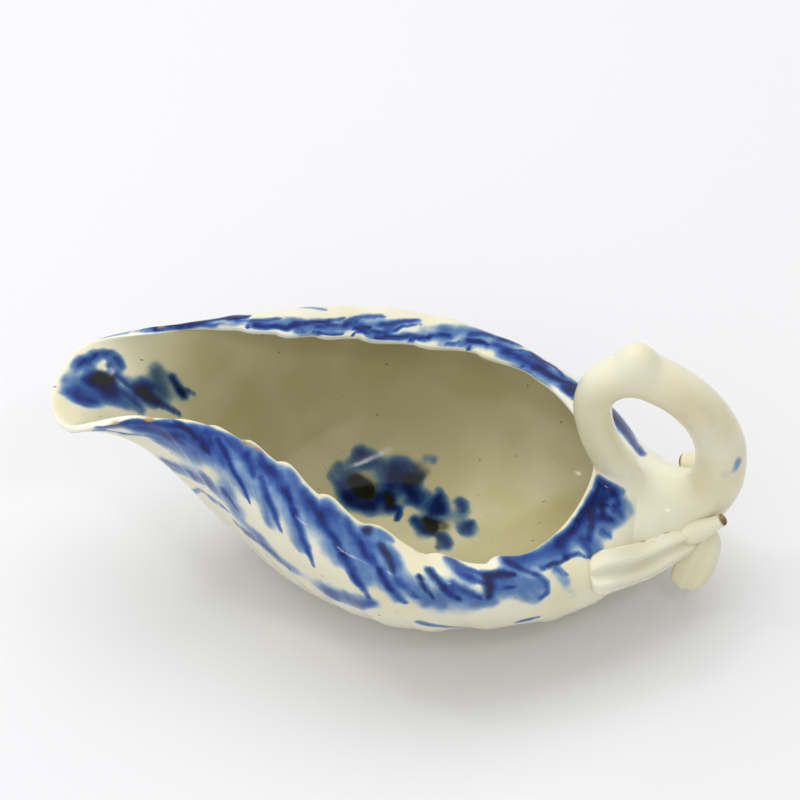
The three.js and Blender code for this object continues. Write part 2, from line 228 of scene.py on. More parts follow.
def lobe_at(turn, notches, lobe_height, rise):
    """How far the lobes lift the wall, all of it at the margin."""
    window = smooth(turn, *LOBES_START) * (1 - smooth(turn, *LOBES_END))
    top = np.clip((rise - LOBE_FROM) / LOBE_OVER, 0, 1) ** 2
    return (lobe_height * window * fold_at(turn, notches) * top)[..., None]


def margin_up(turn):
    """The way up along the wall at the margin."""
    up = leaf_point(turn, 1.0) - leaf_point(turn, RIM_SLOPE_FROM)
    return up / np.linalg.norm(up, axis=-1, keepdims=True)


# The wall is cut into rows from under the floor, up the outside, over the margin, down the
# inside and in to the middle of the well.
UNDERSIDE_ROWS = 6
OUTSIDE_ROWS = 92
MARGIN_ROWS = 8
INSIDE_ROWS = 54
WELL_ROWS = 30
SIDE_COLUMNS = 260
FOLD_CROWDING = 1.25  # how much closer the columns stand at the sharp side of a fold
MARGIN_CROWN = 0.42  # height of the rounded margin over the wall's thickness


def fold_turns(notches):
    """Turns from stalk to lip, with one at each notch and the rest shared out by width."""
    edges = np.array([0, *notches, 1])
    last = np.round(edges[1:] * SIDE_COLUMNS).astype(int)
    turns = []
    for a, b, count in zip(edges, edges[1:], np.diff([0, *last])):
        turns += list(b - (b - a) * (1 - np.arange(count) / count) ** FOLD_CROWDING)
    return np.array(turns + [1.0])


def wall_section(turn, mid_turn, notches, fold_height, lobe_height):
    """All rows of the wall at many turns, from the middle of the floor to that of the well."""
    turn = turn[:, None]
    spine = (FOOT_HALF_LENGTH - FOOT_HALF_WIDTH) * np.cos(np.pi * mid_turn[:, None])
    middle = np.stack([FOOT_CENTRE_X + spine, 0 * turn, 0 * turn + FOOT_HEIGHT], -1)
    rise = np.linspace(0, 1, OUTSIDE_ROWS + 1)[None, :]
    outside = leaf_skin(turn, rise, relief_at(turn, rise, notches, fold_height))
    up = margin_up(turn)
    outside = outside + up * lobe_at(turn, notches, lobe_height, rise)
    drop = np.linspace(1, 0, INSIDE_ROWS + 1)[None, :]
    wall = BELLY_WALL + (MARGIN_WALL - BELLY_WALL) * drop
    inside = leaf_skin(turn, drop, -wall) + up * lobe_at(turn, notches, lobe_height, drop)
    a, b = outside[:, -1:], inside[:, :1]
    angle = np.linspace(0, np.pi, MARGIN_ROWS + 2)[1:-1][None, :, None]
    crown = MARGIN_CROWN * MARGIN_WALL * np.sin(angle)
    margin = (a + b) / 2 + (a - b) / 2 * np.cos(angle) + up * crown
    under = np.linspace(0, 1, UNDERSIDE_ROWS + 1)[:-1][None, :, None]
    below = middle * (1 - under) + outside[:, :1] * under
    share = np.linspace(0, 1, WELL_ROWS + 1)[1:][None, :, None]
    well_middle = middle + np.array([0, 0, FLOOR_THICKNESS])
    well = inside[:, -1:] * (1 - share) + well_middle * share
    return np.concatenate([below, outside, margin, inside, well], axis=1)


near_turns, far_turns = fold_turns(NEAR_NOTCHES), fold_turns(FAR_NOTCHES)
mid_turns = (near_turns + far_turns) / 2
far_wall = wall_section(far_turns, mid_turns, FAR_NOTCHES, FAR_FOLD_HEIGHT, FAR_LOBE_HEIGHT)
near_wall = wall_section(
    near_turns, mid_turns, NEAR_NOTCHES, NEAR_FOLD_HEIGHT, NEAR_LOBE_HEIGHT)
near_wall = near_wall[1:-1][::-1] * [1, -1, 1]
far_wall[[0, -1], :, 1] = 0
shell_points = np.concatenate([far_wall, near_wall]) + FRAME_SHIFT
COLUMNS, ROWS = shell_points.shape[:2]
loop_turn = np.concatenate([far_turns, 2 - near_turns[1:-1][::-1]])
row_names = np.concatenate([
    np.full(UNDERSIDE_ROWS, -2.0),
    np.linspace(0, 1, OUTSIDE_ROWS + 1),
    np.full(MARGIN_ROWS, 1.0),
    np.linspace(1, 0, INSIDE_ROWS + 1),
    -np.linspace(0, 1, WELL_ROWS + 1)[1:],
])
FIRST_OUTSIDE = UNDERSIDE_ROWS
FIRST_MARGIN = FIRST_OUTSIDE + OUTSIDE_ROWS + 1
FIRST_INSIDE = FIRST_MARGIN + MARGIN_ROWS

# A wet sponge has eased the edge between the wall and the floor of the well.
EASED_ROWS, EASING_PASSES, EASING = 14, 110, 0.5
well_edge = FIRST_INSIDE + INSIDE_ROWS
eased = np.arange(well_edge - EASED_ROWS, well_edge + EASED_ROWS + 1)
press = EASING * (1 - ((eased - well_edge) / EASED_ROWS) ** 2)[None, :, None]
for _ in range(EASING_PASSES):
    between = (shell_points[:, eased - 1] + shell_points[:, eased + 1]) / 2
    shell_points[:, eased] += press * (between - shell_points[:, eased])

# The painter's strokes: half width in mm and strength, then turn and rise of each point. A
# turn below 0 is on the near side, and a rise below 0 is the share of the way over the floor
# of the well to its middle. Washes are broad and pale, and the deep strokes go over them.
NEAR_WASH = [
    (2.1, .65, -.85, .99, -.826, .96, -.774, .95, -.721, .96),
    (2.3, .6, -.835, .89, -.791, .86, -.736, .89, -.708, .89),
    (3.7, .5, -.819, .81, -.772, .81, -.724, .83),
    (3.7, .35, -.801, .74, -.754, .77),
    (2.3, .5, -.713, .94, -.698, .89, -.685, .85),
    (3.6, .3, -.706, .83, -.7, .77, -.695, .72),
    (2.5, .35, -.926, .61, -.855, .62, -.8, .63),
    (2.8, .35, -.77, .66, -.753, .64),
    (3, .5, -.691, .97, -.66, .96, -.629, .95, -.598, .96),
    (3.2, .5, -.601, .95, -.568, .95, -.534, .94, -.506, .94),
    (3.5, .5, -.506, .94, -.481, .95, -.451, .94, -.427, .93, -.399, .91),
    (2.3, .4, -.671, .89, -.66, .83, -.654, .77),
    (2.4, .4, -.631, .9, -.619, .81, -.615, .72),
    (2.6, .38, -.585, .9, -.564, .81, -.56, .72),
    (2.9, .36, -.537, .93, -.51, .84, -.491, .77),
    (2.9, .38, -.495, .92, -.466, .84, -.456, .73),
    (2.9, .42, -.444, .9, -.425, .79, -.411, .7),
    (2.6, .42, -.395, .87, -.383, .76, -.374, .68),
    (2.6, .35, -.361, .79, -.351, .69),
    (4.6, .28, -.352, .68, -.32, .67),
    (2.5, .45, -.307, .96, -.288, .9),
    (2.5, .45, -.326, .81, -.302, .73, -.285, .71),
    (2.7, .5, -.255, .88, -.234, .86, -.215, .81),
    (2.2, .4, -.265, .81, -.249, .76, -.234, .72),
    (2.5, .55, -.223, .97, -.185, .96, -.151, .94),
    (3, .55, -.152, .97, -.121, .95, -.085, .94),
    (2.8, .5, -.056, .96, -.069, .9, -.09, .88),
    (2.6, .45, -.04, .92, -.049, .85, -.069, .86),
    (2.8, .5, -.115, .9, -.116, .85),
    (1.9, .3, -.182, .86, -.181, .79),
    (1.7, .14, -.19, .77, -.186, .67),
    (4, .4, -.669, .55, -.65, .52, -.616, .52),
    (4.9, .45, -.555, .52, -.536, .51, -.517, .51),
    (3.7, .45, -.501, .56, -.468, .59),
    (4, .4, -.759, .64, -.719, .67, -.696, .65),
    (3.7, .35, -.876, .65, -.83, .64, -.769, .67),
    (3.7, .35, -.72, .6, -.701, .57, -.67, .58),
]
NEAR_DEEP = [
    (.9, .75, -.84, .99, -.83, .99, -.823, .99),
    (.8, .5, -.826, .99, -.797, .93, -.75, .95, -.729, .94),
    (.8, .5, -.874, .96, -.874, .91, -.87, .86),
    (.9, .4, -.875, .86, -.839, .83, -.81, .81),
    (1.6, .45, -.826, .89, -.794, .87, -.753, .88),
    (1.6, .6, -.796, .84, -.776, .84, -.766, .83),
    (.7, .75, -.744, .95, -.733, .93, -.724, .9),
    (.6, .5, -.745, .98, -.735, .97),
    (1, .85, -.719, .87, -.713, .84),
    (.6, .5, -.72, .91, -.718, .87),
    (1.3, .45, -.703, .96, -.682, .97),
    (.8, .8, -.685, .94, -.675, .89, -.666, .85, -.659, .8, -.651, .74),
    (.7, .4, -.676, .97, -.655, .94),
    (1.1, .45, -.881, .66, -.859, .64, -.819, .64),
    (1.4, .65, -.821, .62, -.796, .63, -.755, .66),
    (.9, .6, -.931, .47, -.831, .55, -.804, .54),
    (1.6, .65, -.816, .53, -.77, .56, -.751, .56),
    (1.3, .7, -.716, .68, -.71, .66, -.704, .63),
    (1.6, .45, -.66, .97, -.633, .96),
    (1.2, .65, -.638, .94, -.63, .91, -.628, .88),
    (1.2, .5, -.618, .99, -.605, .95, -.599, .9),
    (.9, .7, -.615, .89, -.609, .83, -.599, .78, -.595, .72),
    (1.4, .5, -.595, .96, -.578, .92, -.564, .9),
    (1.3, .75, -.571, .92, -.562, .89, -.556, .85),
    (1.1, .7, -.557, .86, -.551, .8, -.547, .74, -.547, .66),
    (1.5, .35, -.561, .98, -.539, .96),
    (1.4, .6, -.535, .97, -.52, .95, -.509, .92),
    (1.3, .78, -.511, .92, -.5, .88, -.486, .84, -.478, .81),
    (1.3, .75, -.479, .81, -.471, .76, -.466, .7, -.464, .62),
    (1.9, .35, -.501, .97, -.481, .96),
    (1.5, .5, -.468, .97, -.455, .94, -.445, .91),
    (1.1, .7, -.446, .91, -.434, .86, -.425, .81),
    (1.1, .8, -.424, .81, -.417, .77, -.414, .73),
    (1.2, .55, -.414, .75, -.408, .7, -.4, .67),
    (1.6, .95, -.434, .98, -.429, .97),
    (1.8, .45, -.417, .98, -.396, .98),
    (1.2, .5, -.414, .94, -.406, .89, -.4, .84),
    (1.1, .5, -.4, .81, -.39, .77, -.381, .71),
    (.7, .75, -.365, .85, -.361, .79, -.357, .72),
    (1.3, .8, -.345, .91, -.338, .86, -.333, .8),
    (1, .7, -.333, .81, -.328, .76, -.321, .72),
    (1.5, .55, -.312, .99, -.295, .96, -.275, .92),
    (1.1, .6, -.307, .93, -.292, .89, -.279, .85),
    (1, .65, -.321, .83, -.306, .79, -.294, .74),
    (1.9, .85, -.268, .91, -.274, .82, -.284, .75),
    (1.3, .8, -.261, .91, -.244, .92, -.233, .9),
    (1.1, .6, -.225, .97, -.214, .93, -.206, .88),
    (1.1, .6, -.206, .89, -.206, .82, -.215, .76, -.23, .72),
    (1.4, .5, -.217, .99, -.189, .99, -.164, .98, -.143, .96),
    (.9, .75, -.191, .91, -.175, .9, -.156, .9),
    (.8, .75, -.156, .91, -.141, .89, -.129, .84),
    (1.4, .9, -.144, .97, -.114, .98, -.08, .98),
    (1.4, .9, -.08, .98, -.058, .98, -.035, .98),
    (1.5, .75, -.035, .98, -.018, .98, -.021, .96),
    (1.5, .8, -.022, .96, -.031, .94, -.037, .93),
    (1.5, .65, -.076, .96, -.091, .93, -.113, .9),
    (1.3, .85, -.077, .92, -.071, .88),
    (.9, .7, -.06, .94, -.054, .9),
    (1.4, .5, -.054, .88, -.06, .85),
    (1.2, .6, -.033, .92, -.028, .88),
    (1.3, .5, -.12, .92, -.126, .86),
    (1.9, .8, -.026, .97, -.043, .95, -.06, .95, -.071, .92),
    (1.6, .7, -.065, .97, -.09, .97, -.115, .97),
    (1.3, .6, -.04, .92, -.048, .89, -.061, .89),
    (1, .45, -.179, .87, -.173, .82),
    (.9, .5, -.091, .88, -.088, .84),
    (.6, .7, -.258, .82, -.246, .81),
    (1.8, .7, -.748, .51, -.711, .51, -.671, .54, -.652, .52, -.63, .5),
    (2.6, .6, -.549, .51, -.545, .48),
    (2.1, .5, -.503, .52, -.465, .59),
    (1.3, .6, -.405, .52, -.375, .43, -.334, .37),
    (1.3, .75, -.273, .48, -.247, .54),
]
NEAR_IRON = [
    (1.2, .55, -.413, .93, -.406, .89, -.403, .84),
    (.6, .55, -.365, .85, -.361, .79, -.356, .73),
    (.9, .4, -.344, .91, -.333, .81),
    (1.5, .55, -.269, .9, -.283, .76),
    (1.1, .5, -.256, .92, -.235, .9),
    (.9, .4, -.224, .97, -.208, .89),
    (.8, .5, -.185, .9, -.152, .9),
    (1.1, .35, -.077, .96, -.1, .92),
    (1, .35, -.024, .97, -.034, .94),
    (1.1, .6, -.432, .98, -.429, .97),
    (.9, .4, -.741, .94, -.731, .92),
    (.9, .35, -.719, .85, -.713, .84),
    (1.3, .3, -.835, 1, -.829, .99),
]
FAR_WASH = [
    (.9, .59, .795, 1, .795, 1, .756, 1),
    (1.8, .64, .761, .99, .726, .91, .675, .93),
    (1.1, .34, .723, 1, .68, .99, .649, .98),
    (1.9, .51, .649, .98, .601, .96, .535, .96),
    (2, .55, .583, .99, .534, .98, .484, .96),
    (1.5, .42, .6, .83, .579, .84, .551, .88),
    (1.6, .42, .51, .96, .48, .92, .456, .91),
    (1.7, .51, .475, .97, .431, .94, .398, .9),
    (1.5, .51, .466, 1, .419, .99, .36, .97, .346, .96),
    (1.8, .3, .385, .95, .357, .93),
    (2.4, .47, .354, .94, .323, .91, .285, .86),
    (1.1, .34, .357, 1, .319, .99),
    (1.7, .47, .321, .98, .288, .95, .261, .93),
    (1.8, .42, .28, .9, .263, .84),
    (1.4, .34, .269, .98, .239, .96),
    (2.6, .55, .255, .96, .231, .93, .21, .92),
    (4.1, .59, .223, .96, .182, .95, .152, .91),
    (1.8, .51, .155, .97, .133, .97),
    (3.6, .85, .103, .83, .076, .82, .046, .8),
    (2.2, .75, .93, .96, .88, .96, .83, .95, .78, .94, .74, .93),
    (1.6, .5, .84, .92, .8, .89, .76, .87),
    (2.8, .6, .155, .93, .125, .9, .1, .86, .08, .82),
]
FAR_DEEP = [
    (.5, .78, .795, 1, .781, 1, .746, .99),
    (1.2, .78, .745, 1, .723, .95, .685, .95),
    (.5, .48, .738, 1, .709, 1, .688, .98),
    (1, .48, .726, .91, .693, .94),
    (1.2, .82, .695, .95, .669, .92),
    (.7, .58, .681, .97, .645, .96, .619, .94),
    (.9, .87, .647, .99, .608, .98, .568, .96, .535, .96),
    (.6, .58, .55, .96, .529, .95, .514, .93),
    (.5, .78, .552, .98, .517, .97, .484, .94),
    (.7, .82, .559, 1, .54, 1, .51, 1),
    (.7, .48, .511, .95, .481, .92, .451, .91),
    (.9, .92, .489, .98, .469, .97),
    (.6, .78, .484, .99, .445, .98, .415, .95, .391, .92),
    (.8, .58, .454, .96, .425, .93, .399, .89),
    (.8, .82, .454, 1, .419, .99, .381, .98, .348, .95),
    (.6, .58, .346, .99, .325, .98),
    (.9, .87, .316, .97, .297, .95, .288, .95),
    (1, .58, .32, .93, .297, .87, .278, .87),
    (.8, .68, .283, .88, .271, .85, .26, .81),
    (.6, .44, .285, .94, .261, .93, .246, .89),
    (.8, .58, .265, .96, .25, .95),
    (.9, .63, .241, .96, .225, .96),
    (1.2, .82, .241, .87, .224, .89, .208, .86, .179, .91),
    (1.4, .87, .214, .96, .189, .96, .169, .95, .158, .9),
    (1, .82, .155, .97, .138, .97),
    (1.8, .73, .119, .79, .09, .79, .077, .7),
    (1, .85, .9, .97, .86, .97, .82, .96, .79, .95),
    (1.1, .9, .81, .95, .78, .93, .745, .91, .71, .92),
    (.8, .75, .87, .94, .83, .92, .8, .91),
    (1.5, .8, .15, .95, .125, .91, .1, .87, .09, .84),
    (1.1, .7, .14, .88, .115, .84, .09, .8),
]
FAR_DOTS = [
    (.7, .9, .661, 1),
    (.6, .9, .576, 1),
    (.7, .9, .492, 1),
    (.7, .9, .4, 1),
    (.8, .9, .312, 1),
    (.7, .8, .225, 1),
]
SPRAY_WASH = [
    (1.6, .58, .944, .97, .931, .96, .916, .95),
    (1.3, .53, .915, .94, .904, .93, .895, .91, .899, .89, .912, .86),
    (1.2, .47, .914, .89, .926, .86),
    (1.3, .26, .974, .98, .995, .96),
    (2, .37, .966, .97, .963, .93),
    (1.7, .26, .998, .96, .983, .94),
    (3.4, .63, .994, .92, 1.002, .88),
    (2.5, .53, .695, .09, .755, -0, .769, -.23),
    (3, .53, .634, .09, .632, -0, .621, -.23),
    (3.7, .63, .758, -.35, .708, -.48, .631, -.49),
    (3, .53, .601, -.07, .559, -.22, .508, -.33),
    (2.2, .47, .452, -.46, .358, -.6, .232, -.79),
    (2.2, .58, .969, .89, .968, .84, .965, .81),
    (1.6, .47, .983, .83, .976, .79, .971, .76),
    (1.6, .42, .929, .86, .931, .82, .938, .78),
    (1.6, .42, .958, .82, .958, .77, .958, .71),
    (2.7, .47, .922, .77, .922, .71),
    (2.5, .4, .876, .78, .894, .73, .907, .68),
    (1.8, .37, .869, .72, .88, .64),
    (2.9, .47, .655, .12, .644, .09),
    (2.7, .42, .735, .09, .777, -.02, .786, -.24),
    (3.2, .47, .778, -.34, .737, -.48),
    (2.6, .47, .643, -0, .632, -.3),
    (3.7, .47, .596, .04, .561, -0),
    (2.8, .47, .549, -.25, .511, -.37),
    (1.7, .47, .499, .09, .487, .09),
    (2.9, .47, .425, -.31, .347, -.5),
    (2.4, .42, .433, -.71, .213, -.86),
    (1.9, .47, .036, -.68, -.139, -.59),
    (2, .37, .337, -.19, .266, -.26),
    (2.5, .47, .145, -.36, .111, -.34),
    (1.3, .32, .15, -.77, -.213, -.65),
    (2.3, .26, .277, -.41, .224, -.4),
]
SPRAY_DEEP = [
    (1.7, .7, .936, .96, .925, .95, .914, .95),
    (.8, .55, .912, .94, .901, .93, .895, .92),
    (.9, .6, .9, .89, .907, .86),
    (.9, .6, .911, .9, .922, .88),
    (1.1, .5, .935, .93, .95, .92),
    (2.1, .95, .951, .89, .945, .86),
    (1.8, .85, .959, .91, .96, .88, .949, .84),
    (1.8, .7, .965, .85, .96, .82),
    (2.2, .6, .994, .92, 1.007, .9, 1, .86),
    (2, .4, 1.01, .92, 1.026, .89),
    (.6, .5, .97, .94, .958, .91),
    (.7, .5, .931, .86, .931, .82, .936, .79),
    (.9, .6, .951, .81, .951, .77, .95, .73),
    (1.9, .9, .925, .76, .922, .73),
    (1.4, .85, .934, .76, .929, .71, .924, .68),
    (.9, .8, .924, .69, .92, .65, .914, .61),
    (1.1, .6, .911, .77, .91, .74),
    (1, .75, .871, .72, .875, .69, .878, .65),
    (.9, .5, .874, .67, .88, .64),
    (.7, .6, .868, .66, .859, .62),
    (2.3, .8, .654, .14, .651, .1),
    (1.5, .6, .681, .1, .654, .07),
    (1.2, .5, .63, .11, .638, .06),
    (1.5, .5, .723, .12, .733, .07),
    (1.6, .45, .756, .08, .786, -0),
    (1.6, .5, .782, -.1, .785, -.26),
    (1.7, .7, .784, -.37, .751, -.5, .707, -.52),
    (2.1, .8, .668, -.38, .64, -.38, .626, -.54),
    (1.2, .4, .638, -.05, .632, -.22),
    (2.6, .8, .588, .05, .564, .04),
    (1.9, .8, .607, -.08, .589, -.06),
    (2.1, .8, .562, -.07, .539, -.04),
    (1.9, .65, .553, -.2, .513, -.35),
    (1.5, .5, .537, -.45, .501, -.43),
    (1.1, .7, .594, -.55, .565, -.58, .561, -.76),
    (2, .85, .417, -.3, .353, -.43),
    (1.5, .55, .42, -.43, .382, -.5),
    (1.1, .5, .445, -.16, .425, -.23),
    (1.3, .6, .439, -.72, .348, -.78, .213, -.86),
    (1.2, .65, .059, -.69, -.124, -.6),
    (1.1, .6, .334, -.18, .282, -.25),
    (1.5, .7, .147, -.37, .159, -.31),
    (1.1, .4, .109, -.41, .091, -.34),
]
SPRAY_IRON = [
    (2, .89, .948, .89, .944, .86),
    (1.6, .47, .927, .76, .925, .73),
    (2.3, .26, .88, .77, .904, .7),
    (1, .37, .873, .71, .878, .65),
    (3.6, 1, .722, -.09, .706, -.18),
    (2.5, .89, .718, -.24, .707, -.29),
    (1.6, .79, .631, -.35, .617, -.49),
    (2.2, .79, .531, .04, .52, .02),
    (2.2, .73, .556, -.07, .536, -.07),
    (2.1, .79, .358, -.65, .237, -.76),
    (2.2, .63, .258, -.66, .213, -.61),
    (1, .37, .15, -.77, -.188, -.67),
    (.9, .42, .691, .1, .693, .09),
]
NEAR_CHIPS = [
    (.7, .7, -.83, 1, -.825, 1),
    (.9, .95, -.782, 1, -.777, 1),
    (.8, .75, -.639, 1, -.628, 1, -.616, 1),
    (.4, .6, -.357, 1, -.355, 1),
]
FAR_CHIPS = [
    (.7, .85, .819, 1, .825, 1),
    (.6, .55, .785, 1, .79, 1),
    (.5, .4, .69, 1, .7, 1),
]
WOBBLE, WOBBLE_GRAIN = 0.7, 0.22  # mm that wet paint strays, and how often
FEATHER, FEATHER_GRAIN = 0.22, 0.8
WOBBLE_SEED = 1  # unless it is set, noise_vector differs from run to run
BRUSH_STEPS = 12  # from one point of a stroke to the next
BRUSH_EDGE = 0.9  # where, in half widths, a stroke has half its strength
SECOND_TIER_DROP = 0.24  # the far side has the near side's strokes, this much lower
SECOND_TIER_TOP = (0.62, 0.74)
# The white margin in mm: between two folds, how much more over a fold, how much less at the
# lip, and the turns over which the last two come in.
WHITE_EDGE, WHITE_OVER_FOLD, WHITE_LOST = 0.6, 1.3, 0.5
WHITE_WAVES, WHITE_NARROWS = (0.2, 0.36), (0.78, 0.9)
EDGE_BLUR = (-0.4, 1.0)
# The far side's white edge in mm, how much narrower it is on the neck, and the neck's turns.
FAR_EDGE, FAR_EDGE_LOST, NECK = (0.9, 1.7), 0.55, (0.66, 0.76)
WELL_GLAZE_AND_SHADE_FROM = (2, 48)  # mm from the tip of the lip, over which the well's glaze and painted shade come in
LIP_ZONE = 0.3  # how much of the well's thick glaze and painted shade there is on the lip
INSIDE_BLUR, THIN_GLAZE_AND_HIGHLIGHT = (0.5, 3.0), (0.25, 1.3)  # mm from the crest of the margin
noise.seed_set(WOBBLE_SEED)


def on_leaf(turn, rise, inside):
    """Points in mm at turns round the loop, on the outside or the inside, without folds."""
    turn, rise = np.asarray(turn, float) % 2, np.asarray(rise, float)
    half = np.where(turn > 1, 2 - turn, turn)
    up = np.clip(rise, 0, 1)
    wall = BELLY_WALL + (MARGIN_WALL - BELLY_WALL) * up
    skin = leaf_skin(half, up, -wall if inside else 0 * wall)
    spine = (FOOT_HALF_LENGTH - FOOT_HALF_WIDTH) * np.cos(np.pi * half)
    middle = np.stack([FOOT_CENTRE_X + spine, 0 * half, 0 * half], -1)
    middle[..., 2] = FOOT_HEIGHT + FLOOR_THICKNESS
    share = np.clip(-rise, 0, 1)[..., None]
    skin = skin * (1 - share) + middle * share
    skin[..., 1] *= np.where(turn > 1, -1, 1)
    return skin + FRAME_SHIFT


def wobbled(points):
    """The points a little astray, so that painted edges run as wet paint does."""
    astray = [
        WOBBLE * noise.noise_vector(Vector(p) * WOBBLE_GRAIN)
        + FEATHER * noise.noise_vector(Vector(p) * FEATHER_GRAIN)
        for p in points.tolist()
    ]
    return points + np.array(astray).reshape(-1, 3)


def brushed(points, strokes, soft, taper=0.0, inside=False):
    """How much pigment the strokes leave at each point, from 0 to 1."""
    clean = np.ones(len(points))
    for width, strength, *stops in strokes:
        stops = np.reshape(stops, (-1, 2))
        fine = np.linspace(0, len(stops) - 1, BRUSH_STEPS * (len(stops) - 1) + 1)
        turn = np.interp(fine, range(len(stops)), stops[:, 0])
        rise = np.interp(fine, range(len(stops)), stops[:, 1])
        line = on_leaf(turn, rise, inside)
        widths = width * (1 - taper * np.linspace(0, 1, len(fine)) ** 2)
        reach = width * (1 + soft)
        low, high = line.min(0) - reach, line.max(0) + reach
        near = np.nonzero(((points > low) & (points < high)).all(1))[0]
        if not len(near):
            continue
        spot, away = points[near], np.full(len(near), np.inf)
        if len(line) == 1:
            away = np.linalg.norm(spot - line[0], axis=1) / width
        for a, b, wide, narrow in zip(line, line[1:], widths, widths[1:]):
            run = b - a
            share = np.clip((spot - a) @ run / max(run @ run, TINY), 0, 1)
            gone = np.linalg.norm(spot - a - share[:, None] * run, axis=1)
            away = np.minimum(away, gone / (wide + (narrow - wide) * share))
        clean[near] *= 1 - strength * (1 - smooth(away, BRUSH_EDGE - soft, BRUSH_EDGE + soft))
    return 1 - clean


def layered(*coats):
    """Coats of pigment over one another."""
    clean = 1
    for coat in coats:
        clean = clean * (1 - coat)
    return 1 - clean


def paint_outside(points, edge):
    """Cobalt and iron of the near side, as far as the white edge of the margin."""
    cobalt = layered(brushed(points, NEAR_WASH, soft=0.9, taper=0.2),
                     brushed(points, NEAR_DEEP, soft=0.85, taper=0.5))
    return cobalt * edge, brushed(points, NEAR_IRON, soft=0.8, taper=0.5) * edge


def paint_band(points):
    """Cobalt of the far side's band along the margin."""
    return layered(brushed(points, FAR_WASH, soft=0.8, taper=0.4),
                   brushed(points, FAR_DEEP, soft=0.6, taper=0.5))


shell_flat = shell_points.reshape(-1, 3)
row_of = np.tile(np.arange(ROWS), COLUMNS)
rise_of = np.tile(row_names, COLUMNS)
near_side = np.repeat(loop_turn > 1, ROWS)
crest = shell_points[:, FIRST_MARGIN + MARGIN_ROWS // 2]
from_crest = np.linalg.norm(shell_points - crest[:, None], axis=-1).reshape(-1)
inner_edge = shell_points[:, FIRST_INSIDE]
from_inner_edge = np.linalg.norm(shell_points - inner_edge[:, None], axis=-1).reshape(-1)
is_outside = (row_of >= FIRST_OUTSIDE) & (row_of < FIRST_INSIDE)
is_inside = row_of >= FIRST_INSIDE
cobalt, iron, zone, bare = (np.zeros(len(shell_flat)) for _ in range(4))
near_out, far_out = is_outside & near_side, is_outside & ~near_side
turn_of = np.repeat(loop_turn, ROWS)
half_turn = np.minimum(turn_of, 2 - turn_of)
over_fold = fold_at(half_turn, NEAR_NOTCHES) * smooth(half_turn, *WHITE_WAVES)
white_edge = WHITE_EDGE + WHITE_OVER_FOLD * over_fold
white_edge -= WHITE_LOST * smooth(half_turn, *WHITE_NARROWS)
edge = smooth(from_crest - white_edge, *EDGE_BLUR)
astray = shell_flat.copy()
unfolded = is_outside & (row_of < FIRST_MARGIN)
astray[unfolded] = on_leaf(turn_of[unfolded], rise_of[unfolded], False)
astray[is_outside | is_inside] = wobbled(astray[is_outside | is_inside])
cobalt[near_out], iron[near_out] = paint_outside(astray[near_out], edge[near_out])
far_turn, far_rise = turn_of[far_out], rise_of[far_out]
higher = wobbled(on_leaf(2 - far_turn, np.maximum(far_rise, 0) + SECOND_TIER_DROP, False))
copied, iron[far_out] = paint_outside(higher, 1 - smooth(far_rise, *SECOND_TIER_TOP))
neck = smooth(far_turn, *NECK)
far_edge = smooth(from_inner_edge[far_out] + FAR_EDGE_LOST * neck, *FAR_EDGE)
dots = brushed(shell_flat[far_out], FAR_DOTS, soft=0.5)
cobalt[far_out] = layered(copied, paint_band(astray[far_out]) * far_edge, dots)
inner = astray[is_inside]
cobalt[is_inside] = layered(brushed(inner, SPRAY_WASH, soft=0.9, inside=True),
                            brushed(inner, SPRAY_DEEP, soft=0.85, taper=0.2, inside=True))
iron[is_inside] = brushed(inner, SPRAY_IRON, soft=0.55, inside=True)

# Zone is 1 under the thick glaze of the well, 0 outside and -1 where it thins on the crest. The
# well's darker colours are partly painted shade of its hollow, and the crest's white partly a
# painted highlight.
inboard = smooth(shell_flat[:, 0] + LIP_REACH, *WELL_GLAZE_AND_SHADE_FROM)
thick = smooth(from_crest, *INSIDE_BLUR) * (LIP_ZONE + (1 - LIP_ZONE) * inboard)
zone[is_inside] = thick[is_inside]
# The crest is whitened where its glaze thins, partly as a painted highlight.
zone -= 1 - smooth(from_crest, *THIN_GLAZE_AND_HIGHLIGHT)
bare[near_side] = brushed(shell_flat[near_side], NEAR_CHIPS, soft=0.4)
bare[~near_side] = brushed(shell_flat[~near_side], FAR_CHIPS, soft=0.4)


class Wire:
    """One socket of a shader. Arithmetic on it adds the Math nodes that it needs."""

    def __init__(self, tree, socket=None):
        self.tree = tree
        self.socket = socket

    def node(self, kind, settings=(), inputs=(), out=0):
        made = self.tree.nodes.new(kind)
        for name, value in dict(settings).items():
            if name == "stops":
                stops = made.color_ramp.elements
                for k, (place, colour) in enumerate(value):
                    stop = stops[k] if k < 2 else stops.new(place)
                    stop.position, stop.color = place, colour
            else:
                setattr(made, name, value)
        for name, value in dict(inputs).items():
            if isinstance(value, Wire):
                self.tree.links.new(value.socket, made.inputs[name])
            else:
                made.inputs[name].default_value = value
        return Wire(self.tree, made.outputs[out] if made.outputs else None)

    def math(self, operation, *values):
        numbered = dict(enumerate(values))
        return self.node("ShaderNodeMath", {"operation": operation}, numbered)

    def __add__(self, other):
        return self.math("ADD", self, other)

    def __sub__(self, other):
        return self.math("SUBTRACT", self, other)

    def __rsub__(self, other):
        return self.math("SUBTRACT", other, self)

    def __mul__(self, other):
        return self.math("MULTIPLY", self, other)

    __radd__ = __add__
    __rmul__ = __mul__

    def step(self, low, high):
        """The same as smooth, for a socket."""
        settings = {"interpolation_type": "SMOOTHSTEP"}
        return self.node("ShaderNodeMapRange", settings, {0: self, 1: low, 2: high, 3: 0, 4: 1})

    def between(self, first, second):
        """The colour at this share of the way from the first to the second."""
        settings = {"data_type": "RGBA", "clamp_factor": True}
        return self.node("ShaderNodeMix", settings, {0: self, 6: first, 7: second}, 2)


def colour(red, green, blue):
    """A colour given as it looks, 0 to 255, in the numbers that a shader takes."""
    return tuple((c / 255 / 12.92 if c < 11 else ((c / 255 + 0.055) / 1.055) ** 2.4)
                 for c in (red, green, blue)) + (1.0,)


